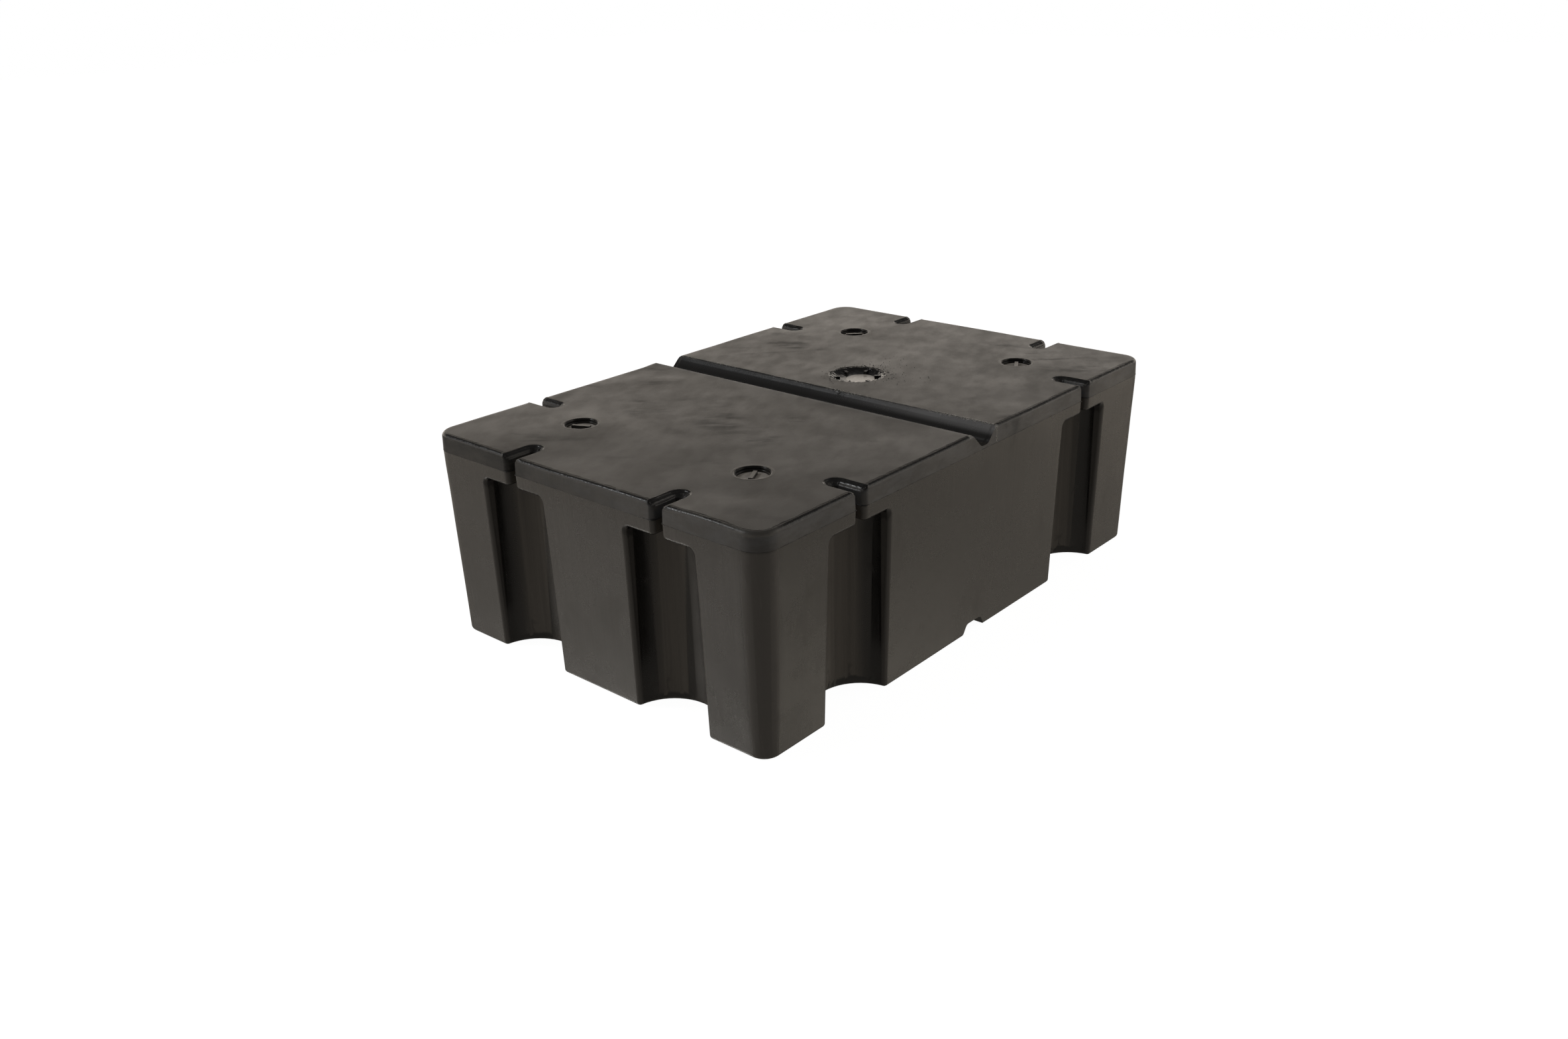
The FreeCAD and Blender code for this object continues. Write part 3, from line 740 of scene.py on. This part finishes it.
def make_plug_material():
    """Smooth black plastic, glossy down its walls, with dust and painted light on what faces up."""
    material, n, shader, place = new_material("plug_black")
    height = n.parts(place)["Z"]
    mottle = n.group(MOTTLE, Vector=place, Cloud_Size=0.012, Grain_Size=0.0008)
    clouds = mottle["Clouds"]
    level = n.ramp(n.facing()["Z"], 0.90, 0.99)
    flange = n.ramp(height, DECK - 0.0024, DECK - 0.0018)
    floor = n.ramp(height, DECK - 0.0078, DECK - 0.0080)
    bar_top = n.ramp(n.size(n.less(height, DECK - 0.0036)), 0.0003, 0.0002)
    melted = n.ramp(n.distance(place, (*FILL_PLUG, DECK)), FILL_FLANGE + 0.001, FILL_FLANGE)
    bar_top = n.less(bar_top, melted, clamp=True)
    film = n.ramp(clouds, 0.3, 0.7, 0.7, 1.0)
    # Dust and painted light: the floors and the tops of the bar and lugs that face up are made pale.
    dusty_and_lit = n.times(level, n.most(floor, bar_top), film)
    base = n.mix(dusty_and_lit, BLACK, n.mix(bar_top, DUST_AND_TOP_LIGHT, BAR_DUST_AND_TOP_LIGHT))
    n.put(n.mix(n.times(flange, level, film), base, FILM), shader["Base Color"])
    matt = n.times(level, n.less(0.22, n.times(melted, 0.18)))
    n.put(n.plus(matt, n.ramp(clouds, 0.3, 0.7, 0.09, 0.15)), shader["Roughness"])
    n.put(n.bump(mottle["Grain"], 0.00008, 0.4, n.bump(clouds, 0.0006, 0.5)), shader["Normal"])
    return material


def make_torn_material():
    """The torn edge of plastic that squeezed out between the mould halves, and the crumbs of a weld."""
    material, n, shader, place = new_material("torn_plastic")
    mottle = n.group(MOTTLE, Vector=place, Cloud_Size=0.010, Grain_Size=0.0006)
    worn = n.group(WORN_EDGE, Vector=place, Edge=0.6, Chip_Size=0.004, Cover=0.45)["Worn"]
    n.put(n.mix(n.times(worn, 0.5), TORN, RUBBED), shader["Base Color"])
    n.put(n.ramp(mottle["Clouds"], 0.35, 0.65, 0.22, 0.55), shader["Roughness"])
    n.put(n.bump(mottle["Grain"], 0.0002, 0.6), shader["Normal"])
    return material


# Geometry node trees

def geometry_tree(name, inputs):
    """An empty tree that takes a mesh and these values, and gives a mesh."""
    mesh = ("Geometry", "Geometry")
    return new_tree(name, "GeometryNodeTree", [(*mesh, None), *inputs], [mesh])


def finish_tree(n, shape, given, out):
    """Ends a geometry tree with a plain mesh in the given material."""
    real = n.result("GeometryNodeRealizeInstances", {"Geometry": shape})
    done = n.result("GeometryNodeSetMaterial", {"Geometry": real, "Material": given["Material"]})
    n.put(done, out["Geometry"])


def grow(piece, tree, **values):
    """Runs a geometry tree on a piece and keeps the result as a plain mesh."""
    grown = piece.modifiers.new("growth", "NODES")
    grown.node_group = tree
    for item in tree.interface.items_tree:
        key = item.name.replace(" ", "_")
        if item.in_out == "INPUT" and key in values:
            grown[item.identifier] = values[key]
    bake_modifiers(piece)


def ridge_tree():
    """An uneven ridge along a path, with lumps where the path is marked."""
    tree, n, given, out = geometry_tree("torn_ridge", [
        ("Step", "Float", 0.0016),
        ("Reach", "Float", 0.0005),
        ("Least", "Float", 0.25),
        ("Lump Reach", "Float", 0.0019),
        ("Tear Size", "Float", 0.010),
        ("Wander", "Float", 0.0002),
        ("Flatness", "Float", 0.55),
        ("Material", "Material", None),
    ])
    curve = n.result("GeometryNodeMeshToCurve", {"Mesh": given["Geometry"]})
    even = n.result("GeometryNodeResampleCurve", {"Curve": curve, "Length": given["Step"]}, mode="LENGTH")
    place = n.result("GeometryNodeInputPosition")
    tears = {"Vector": place, "Scale": n.over(given["Tear Size"]), "Detail": 3.0, "Roughness": 0.7}
    torn = n.add("ShaderNodeTexNoise", tears).outputs
    span = {"From Min": 0.38, "From Max": 0.72, "To Min": given["Least"], "To Max": 1.0}
    thick = n.add("ShaderNodeMapRange", {"Value": torn["Fac"], **span}).outputs["Result"]

    # The path wanders, mostly sideways.
    sideways = n.vector("MULTIPLY", n.vector("SUBTRACT", torn["Color"], (0.5, 0.5, 0.5)), (1.0, 1.0, 0.15))
    drift = n.result("ShaderNodeVectorMath", {0: sideways, "Scale": given["Wander"]}, operation="SCALE")
    moved = n.result("GeometryNodeSetPosition", {"Geometry": even, "Offset": drift})

    mark = n.add("GeometryNodeInputNamedAttribute", {"Name": "lump"}, data_type="FLOAT").outputs["Attribute"]
    reach = n.plus(n.times(given["Reach"], thick), n.times(mark, thick, given["Lump Reach"]))
    sized = n.result("GeometryNodeSetCurveRadius", {"Curve": moved, "Radius": reach})
    upright = n.result("GeometryNodeSetCurveNormal", {"Curve": sized}, mode="Z_UP")
    ring = n.result("GeometryNodeCurvePrimitiveCircle", {"Resolution": 7, "Radius": 1.0})
    flat = n.join(1.0, given["Flatness"], 1.0)
    lens = n.result("GeometryNodeTransform", {"Geometry": ring, "Scale": flat})
    radius = n.result("GeometryNodeInputRadius")
    sweep = {"Curve": upright, "Profile Curve": lens, "Scale": radius, "Fill Caps": True}
    finish_tree(n, n.result("GeometryNodeCurveToMesh", sweep), given, out)
    return tree


def crumb_tree():
    """Crumbs of plastic strewn over the deck, thickest near the middle of a fan."""
    tree, n, given, out = geometry_tree("weld_crumbs", [
        ("Ground", "Object", None),
        ("Middle", "Vector", None),
        ("Count", "Int", 100),
        ("Inner", "Float", 0.044),
        ("Outer", "Float", 0.060),
        ("Towards", "Float", 0.0),
        ("Fan", "Float", 6.283),
        ("Smallest", "Float", 0.0003),
        ("Largest", "Float", 0.0010),
        ("Seed", "Int", 1),
        ("Material", "Material", None),
    ])

    def chance(shift, low=0.0, high=1.0):
        """A random number for each crumb, from the tree's seed moved on by a shift."""
        limits = {2: low, 3: high, "Seed": n.plus(given["Seed"], float(shift))}
        return n.add("FunctionNodeRandomValue", limits, data_type="FLOAT").outputs[1]

    near = chance(0)
    away = n.plus(given["Inner"], n.times(n.times(near, near), n.less(given["Outer"], given["Inner"])))
    angle = n.plus(given["Towards"], n.times(given["Fan"], n.less(chance(100), 0.5)))
    arm = n.join(n.times(away, n.math("COSINE", angle)), n.times(away, n.math("SINE", angle)))
    over = n.vector("ADD", given["Middle"], arm)
    points = n.result("GeometryNodePoints", {"Count": given["Count"], "Position": over})
    ground = n.add("GeometryNodeObjectInfo", {"Object": given["Ground"]}, transform_space="RELATIVE")
    fall = n.add("GeometryNodeRaycast", {
        "Target Geometry": ground.outputs["Geometry"],
        "Source Position": n.result("GeometryNodeInputPosition"),
        "Ray Direction": (0.0, 0.0, -1.0),
        "Ray Length": 0.1,
    })
    landed = fall.outputs["Hit Position"]
    laid = n.result("GeometryNodeSetPosition", {"Geometry": points, "Position": landed})

    turn = n.join(*(chance(shift, 0.0, 6.28) for shift in (200, 300, 400)))
    uneven = n.math("POWER", chance(500), 2.5)
    size = n.plus(given["Smallest"], n.times(uneven, n.less(given["Largest"], given["Smallest"])))
    strewn = n.result("GeometryNodeInstanceOnPoints", {
        "Points": laid,
        "Instance": n.result("GeometryNodeMeshIcoSphere", {"Radius": 1.0, "Subdivisions": 1}),
        "Rotation": turn,
        "Scale": n.join(size, n.times(size, 0.7), n.times(size, 0.5)),
    })
    finish_tree(n, strewn, given, out)
    return tree


RIDGE = ridge_tree()
CRUMBS = crumb_tree()


# The flash, the melted bead and the crumbs. Lumps are placed in degrees, and spread in radians.

RING_STEPS = 120
LUMP_SPREAD = 0.25
BEAD_RADIUS = 0.0415
BEAD_SINK = 0.0008
BEAD_LUMPS = (95, 122, 146, 172, 208, 262, 318, 20)
OVER_DECK = 0.32
SMALLEST_CRUMB = 0.0002


def ring_path(name, middle, radius, height, lumps):
    """A closed ring of edges, marked near the given angles."""
    angles = np.linspace(0.0, 2.0 * math.pi, RING_STEPS, endpoint=False)
    points = [(middle[0] + radius * math.cos(a), middle[1] + radius * math.sin(a), height) for a in angles]
    mesh = bpy.data.meshes.new(name)
    mesh.from_pydata(points, [(i, (i + 1) % RING_STEPS) for i in range(RING_STEPS)], [])

    def mark(angle):
        """1 at a lump, 0 away from them all."""
        away = min(abs(math.remainder(angle - lump, 2.0 * math.pi)) for lump in lumps)
        return max(0.0, 1.0 - away / LUMP_SPREAD)

    keep_values(mesh, "lump", [mark(angle) for angle in angles])
    return mesh


def make_flash(path, material):
    """The flash along the parting line, thickest at the mouths of the slots."""
    mouths = [(x, side * HALF_WIDTH) for x in (-SLOT_X, SLOT_X) for side in (-1, 1)]
    mouths += [(side * HALF_LENGTH, y) for y in (-SLOT_Y, SLOT_Y) for side in (-1, 1)]
    places = np.array([v.co for v in path.vertices])
    away = np.min([np.hypot(places[:, 0] - x, places[:, 1] - y) for x, y in mouths], axis=0)
    keep_values(path, "lump", 1.0 - smooth(away, 0.009, 0.016))
    piece = new_piece("parting_flash", path)
    grow(piece, RIDGE, Reach=0.0005, Material=material)
    return piece


def make_melted_bead(material):
    """The ragged bead round the filling plug, where its rim was melted to the deck."""
    lumps = [math.radians(angle) for angle in BEAD_LUMPS]
    mesh = ring_path("melted_bead", FILL_PLUG, BEAD_RADIUS, DECK - PORT_SINK - BEAD_SINK, lumps)
    piece = new_piece("melted_bead", mesh)
    grow(piece, RIDGE, Step=0.0011, Reach=0.0021, Least=0.25, Lump_Reach=0.0020, Tear_Size=0.005,
         Wander=0.0056, Flatness=0.40, Material=material)
    return piece


def make_crumbs(name, middle, ground, material, **values):
    """Crumbs strewn over the ground about a middle, seen from above."""
    piece = new_piece(name, bpy.data.meshes.new(name))
    grow(piece, CRUMBS, Ground=ground, Middle=(*middle, OVER_DECK), Smallest=SMALLEST_CRUMB,
         Material=material, **values)
    return piece


# The plugs. Heights are from the deck, and radii from a plug's own middle.

PLUG_FLOOR = -0.0070
PLUG_WALL = 0.0022
FLANGE_THICKNESS = 0.0020
BEND = 0.0008
SMALL_CUP = 0.0235
SMALL_WELL = 0.0210
SMALL_STEP = -0.0040
SMALL_OUTSIDE = 0.0257
BAR_LENGTH = 0.0280
BAR_BREADTH = 0.0060
BAR_RISE = 0.0045
FILL_MOUTH = 0.0390
FILL_FLOOR = 0.0225
FILL_OUTSIDE = 0.0412
FLOOR_SHIFT = Vector((0.0027, -0.0047))
DISH_STEPS = 16
LUGS = 6
LUG_SEED = 1
LUG_START = 0.0262
LUG_BREADTH = 0.0050
LUG_RISE = 0.0046


def spun(profile, steps):
    """A closed solid turned about Z from a half section whose two ends lie on the axis."""
    turned = bmesh.new()
    verts = [turned.verts.new((radius, 0.0, height)) for radius, height in profile]
    edges = [turned.edges.new(pair) for pair in zip(verts, verts[1:])]
    about = {"axis": (0, 0, 1), "cent": (0, 0, 0), "angle": 2 * math.pi}
    bmesh.ops.spin(turned, geom=verts + edges, steps=steps, use_merge=True, **about)
    bmesh.ops.remove_doubles(turned, verts=turned.verts, dist=CUT)
    bmesh.ops.recalc_face_normals(turned, faces=turned.faces)
    return turned


def add_bar(cells, low, high, rounding):
    """Adds a box with rounded edges to a mesh."""
    made = bmesh.ops.create_cube(cells, size=1.0)["verts"]
    for vert in made:
        for axis in range(3):
            vert.co[axis] = low[axis] if vert.co[axis] < 0 else high[axis]
    edges = list({edge for vert in made for edge in vert.link_edges})
    bmesh.ops.bevel(cells, geom=edges, offset=rounding, segments=3, profile=0.5, affect="EDGES")


def arc(middle, radius, start, end, steps):
    """Points of a half section round part of a circle, from one angle to another in degrees."""
    angles = [math.radians(start + (end - start) * i / steps) for i in range(steps + 1)]
    return [(middle[0] + radius * math.cos(a), middle[1] + radius * math.sin(a)) for a in angles]


def flange_and_back(flange, outside):
    """A plug's half section from the edge of its flange, round under its cup and back to the axis."""
    edge = [(flange, 0.00008), (flange + 0.0010, -0.00012), (flange, -FLANGE_THICKNESS)]
    base = PLUG_FLOOR - PLUG_WALL
    return edge + [(outside, -FLANGE_THICKNESS), (outside, base), (0.0, base)]


def make_small_plug(name, middle, turn, material):
    """A cup with two rings down its wall, a step, a flat floor and a driving bar that stands on it."""
    cup, well, step = SMALL_CUP, SMALL_WELL, SMALL_STEP
    profile = [(0.0, PLUG_FLOOR), (well - BEND, PLUG_FLOOR), (well - 0.0002, PLUG_FLOOR + 0.0002)]
    profile += [(well, PLUG_FLOOR + BEND)] + arc((well + BEND, step - BEND), BEND, 180, 90, 5)
    profile += [(cup - 0.0005, step), (cup, step + 0.0004)]
    profile += arc((cup + 0.0001, -0.0020), 0.0006, 250, 110, 7)
    profile += [(cup, -0.0010)] + arc((cup + BEND, -BEND), BEND, 180, 90, 5)
    profile += [(SMALL_FLANGE - 0.0020, 0.0001)] + flange_and_back(SMALL_FLANGE, SMALL_OUTSIDE)
    plug = spun(profile, 96)
    low = (-BAR_LENGTH / 2, -BAR_BREADTH / 2, PLUG_FLOOR - 0.0002)
    add_bar(plug, low, (BAR_LENGTH / 2, BAR_BREADTH / 2, PLUG_FLOOR + BAR_RISE), 0.0005)
    return place_plug(name, plug, middle, turn, material)


def make_fill_plug(middle, turn, material):
    """A dished plug with driving lugs. Its wall is uneven where it was melted to the deck."""
    profile = [(0.0, PLUG_FLOOR), (FILL_FLOOR - BEND, PLUG_FLOOR), (FILL_FLOOR, PLUG_FLOOR + 0.0004)]
    for step in range(1, DISH_STEPS + 1):
        share = step / DISH_STEPS
        height = PLUG_FLOOR + 0.0004 + (-PLUG_FLOOR - 0.0006) * share ** 2.2
        profile.append((FILL_FLOOR + (FILL_MOUTH - FILL_FLOOR) * share, height))
    profile += [(FILL_MOUTH + beyond, 0.0) for beyond in (0.0008, 0.0020, 0.0032)]
    plug = spun(profile + flange_and_back(FILL_FLANGE, FILL_OUTSIDE), 160)
    melt_dish(plug)

    # Without a seed, the lugs' noise vectors would come out differently in each run.
    noise.seed_set(LUG_SEED)
    for number in range(LUGS):
        add_lug(plug, number)
    return place_plug("filling_plug", plug, middle, turn, material)


def melt_dish(plug):
    """Roughens the wall of the filling plug's dish and shifts its floor to one side."""
    for vert in plug.verts:
        reach = vert.co.xy.length
        if vert.co.z > PLUG_FLOOR + 0.0002 and FILL_FLOOR < reach < FILL_FLANGE - 0.0002:
            rough = noise.noise(vert.co * 150.0) + 0.6 * noise.noise(vert.co * 380.0)
            share = float(smooth(vert.co.z, PLUG_FLOOR, PLUG_FLOOR + 0.0020))
            vert.co.xy *= 1.0 + 0.022 * rough * share
            vert.co.z -= 0.0006 * (1.0 + rough) * share
        if vert.co.z > PLUG_FLOOR - 0.0010 and reach < FILL_MOUTH:
            vert.co.xy += FLOOR_SHIFT * (1.0 - float(smooth(reach, FILL_FLOOR, FILL_MOUTH)))


def add_lug(plug, number):
    """Adds one of the filling plug's driving lugs, with its own melted shape."""
    lug = bmesh.new()
    low = (LUG_START, -LUG_BREADTH / 2, PLUG_FLOOR - 0.0002)
    add_bar(lug, low, (FILL_MOUTH - 0.0010, LUG_BREADTH / 2, PLUG_FLOOR + LUG_RISE), 0.0009)
    bmesh.ops.subdivide_edges(lug, edges=lug.edges, cuts=3, use_grid_fill=True)
    for vert in lug.verts:
        vert.co += 0.0009 * noise.noise_vector(vert.co * 260.0 + Vector((number, 0.0, 0.0)))
    turn = Matrix.Rotation(number * 2.0 * math.pi / LUGS, 3, "Z")
    bmesh.ops.rotate(lug, cent=(0, 0, 0), matrix=turn, verts=lug.verts)
    part = bpy.data.meshes.new("lug")
    lug.to_mesh(part)
    lug.free()
    plug.from_mesh(part)
    bpy.data.meshes.remove(part)


def place_plug(name, cells, middle, turn, material):
    """Seats a plug's flange in the deck, as low as the deck lies there."""
    seat = Matrix.Translation((*middle, DECK - PORT_SINK)) @ Matrix.Rotation(math.radians(turn), 4, "Z")
    bmesh.ops.transform(cells, matrix=seat, verts=cells.verts)
    mark_sharp_edges(cells)
    mesh = bpy.data.meshes.new(name)
    cells.to_mesh(mesh)
    cells.free()
    piece = new_piece(name, mesh, material)
    finish_smooth(piece)
    return piece


# The stage

FLOOR_HALF = 14.0
FLOOR_LEVEL = -0.0003
FLOOR_GLOW = colour(0.17, 0.157, 0.14)
FLOOR_SHEEN = colour(0.85, 0.81, 0.75)
FLOOR_MATT = colour(0.22, 0.22, 0.22)
SEEN_FLOOR = colour(0.97, 0.97, 0.97)
SEEN_SURROUND = colour(1.0, 1.0, 1.0)
BACKDROP = colour(1.25, 1.15, 1.03)
FRONT = colour(0.08, 0.075, 0.07)
OVERHEAD = colour(0.13, 0.125, 0.12)

# The photograph's camera, in metres, degrees and millimetres.
CAMERA_PLACE = (-1.46419, -1.22512, 0.88748)
CAMERA_AZIMUTH = -48.717
CAMERA_PITCH = 22.44
CAMERA_ROLL = -1.442
CAMERA_LENS = 30.81
CAMERA_WIDTH = 36.0

# Each softbox: its place, what it is aimed at, its breadth and rise, its power in watts and its tint.
SOFTBOXES = {
    "high_softbox": ((-1.9, 2.2, 2.9), (0.0, 0.0, 0.3), 0.8, 0.6, 20.0, (0.97, 0.985, 1.0)),
    "left_softbox": ((-2.35, 2.25, 1.9), (-0.3, 0.0, 0.15), 1.6, 1.0, 5.0, (1.0, 0.98, 0.97)),
    "right_softbox": ((2.25, -2.35, 2.35), (0.0, -0.3, 0.15), 1.6, 1.2, 7.0, (1.0, 0.96, 0.88)),
}


def make_floor():
    """A white floor with a sheen, in which the drum's walls see the studio. It is clear from below."""
    material, n = empty_material("studio_white")
    glow = n.result("ShaderNodeEmission", {"Color": FLOOR_GLOW})
    sheen = n.result("ShaderNodeBsdfAnisotropic", {"Color": FLOOR_SHEEN, "Roughness": 0.25})
    lighting = n.result("ShaderNodeAddShader", {0: glow, 1: sheen})
    white = n.result("ShaderNodeEmission", {"Color": SEEN_FLOOR})
    matt = n.result("ShaderNodeBsdfDiffuse", {"Color": FLOOR_MATT})
    seen = n.result("ShaderNodeAddShader", {0: white, 1: matt})
    above = n.result("ShaderNodeMixShader", {0: n.camera_ray(), 1: lighting, 2: seen})
    from_below = n.add("ShaderNodeNewGeometry").outputs["Backfacing"]
    clear = n.result("ShaderNodeBsdfTransparent")
    surface = n.result("ShaderNodeMixShader", {0: from_below, 1: above, 2: clear})
    n.add("ShaderNodeOutputMaterial", {"Surface": surface})
    outline = ((-1, -1), (1, -1), (1, 1), (-1, 1))
    corners = [(x * FLOOR_HALF, y * FLOOR_HALF, FLOOR_LEVEL) for x, y in outline]
    mesh = bpy.data.meshes.new("studio_floor")
    mesh.from_pydata(corners, [], [(0, 1, 2, 3)])
    new_piece("studio_floor", mesh, material)


def make_surround():
    """A bright surround that is dim overhead and on the camera's side. The camera itself sees it white."""
    world = bpy.data.worlds.new("white_studio")
    bpy.context.scene.world = world
    world.use_nodes = True
    n = Nodes(world.node_tree)
    towards = n.add("ShaderNodeTexCoord").outputs["Generated"]
    azimuth = math.radians(CAMERA_AZIMUTH)
    behind = n.vector("DOT_PRODUCT", towards, (math.sin(azimuth), -math.cos(azimuth), 0.0), "Value")
    horizon = n.mix(n.ramp(behind, 0.34, 0.66), BACKDROP, FRONT)
    shade = n.mix(n.ramp(n.parts(towards)["Z"], 0.23, 0.42), horizon, OVERHEAD)
    background = world.node_tree.nodes["Background"].inputs["Color"]
    n.put(n.mix(n.camera_ray(), shade, SEEN_SURROUND), background)


def soft_light(name, place, aim, breadth, rise, power, tint):
    light = bpy.data.lights.new(name, "AREA")
    light.shape = "RECTANGLE"
    light.size = breadth
    light.size_y = rise
    light.energy = power
    light.color = tint
    lamp = bpy.data.objects.new(name, light)
    bpy.context.scene.collection.objects.link(lamp)
    lamp.location = place
    lamp.rotation_euler = (Vector(place) - Vector(aim)).to_track_quat("Z", "Y").to_euler()
    lamp.visible_camera = False


def make_camera():
    azimuth, pitch, roll = (math.radians(v) for v in (CAMERA_AZIMUTH, CAMERA_PITCH, CAMERA_ROLL))
    level = math.cos(pitch)
    back = Vector((math.sin(azimuth) * level, -math.cos(azimuth) * level, math.sin(pitch)))
    right = Vector((0.0, 0.0, 1.0)).cross(back).normalized()
    up = back.cross(right)
    turned_right = math.cos(roll) * right + math.sin(roll) * up
    turned_up = math.cos(roll) * up - math.sin(roll) * right
    data = bpy.data.cameras.new("photo_camera")
    data.sensor_width = CAMERA_WIDTH
    data.lens = CAMERA_LENS
    camera = bpy.data.objects.new("photo_camera", data)
    bpy.context.scene.collection.objects.link(camera)
    axes = Matrix((turned_right, turned_up, back)).transposed().to_4x4()
    camera.matrix_world = Matrix.Translation(CAMERA_PLACE) @ axes
    bpy.context.scene.camera = camera


# The pieces

skin_material = make_skin_material()
plug_material = make_plug_material()
torn_material = make_torn_material()

skin_mesh, parting = make_skin()
skin = new_piece("drum_skin", skin_mesh, skin_material)
finish_smooth(skin)
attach(skin, "root")
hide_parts("drum_body")

for name, middle in SMALL_PLUGS.items():
    plug = make_small_plug(f"{name}_plug", middle, BAR_TURNS[name], plug_material)
    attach(plug, "root")
    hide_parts(f"plug_{name}")

filling_plug = make_fill_plug(FILL_PLUG, FILL_TURN, plug_material)
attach(filling_plug, "root")
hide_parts("fill_plug")

flash = make_flash(parting, torn_material)
bead = make_melted_bead(torn_material)
rim_crumbs = make_crumbs("rim_crumbs", FILL_PLUG, skin, torn_material,
                         Count=260, Inner=0.0425, Outer=0.060, Largest=0.0011, Seed=3)
strewn_crumbs = make_crumbs("strewn_crumbs", FILL_PLUG, skin, torn_material,
                            Count=190, Inner=0.046, Outer=0.118, Largest=0.0010, Seed=8,
                            Towards=math.radians(-35), Fan=math.radians(120))
groove_crumbs = make_crumbs("groove_crumbs", (0.026, -0.032), skin, torn_material,
                            Count=120, Inner=0.0, Outer=0.014, Largest=0.0012, Seed=21)
for piece in (flash, bead, rim_crumbs, strewn_crumbs, groove_crumbs):
    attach(piece, "root")

make_floor()
make_surround()
make_camera()
for name, settings in SOFTBOXES.items():
    soft_light(name, *settings)
bpy.context.scene.view_settings.view_transform = "Standard"
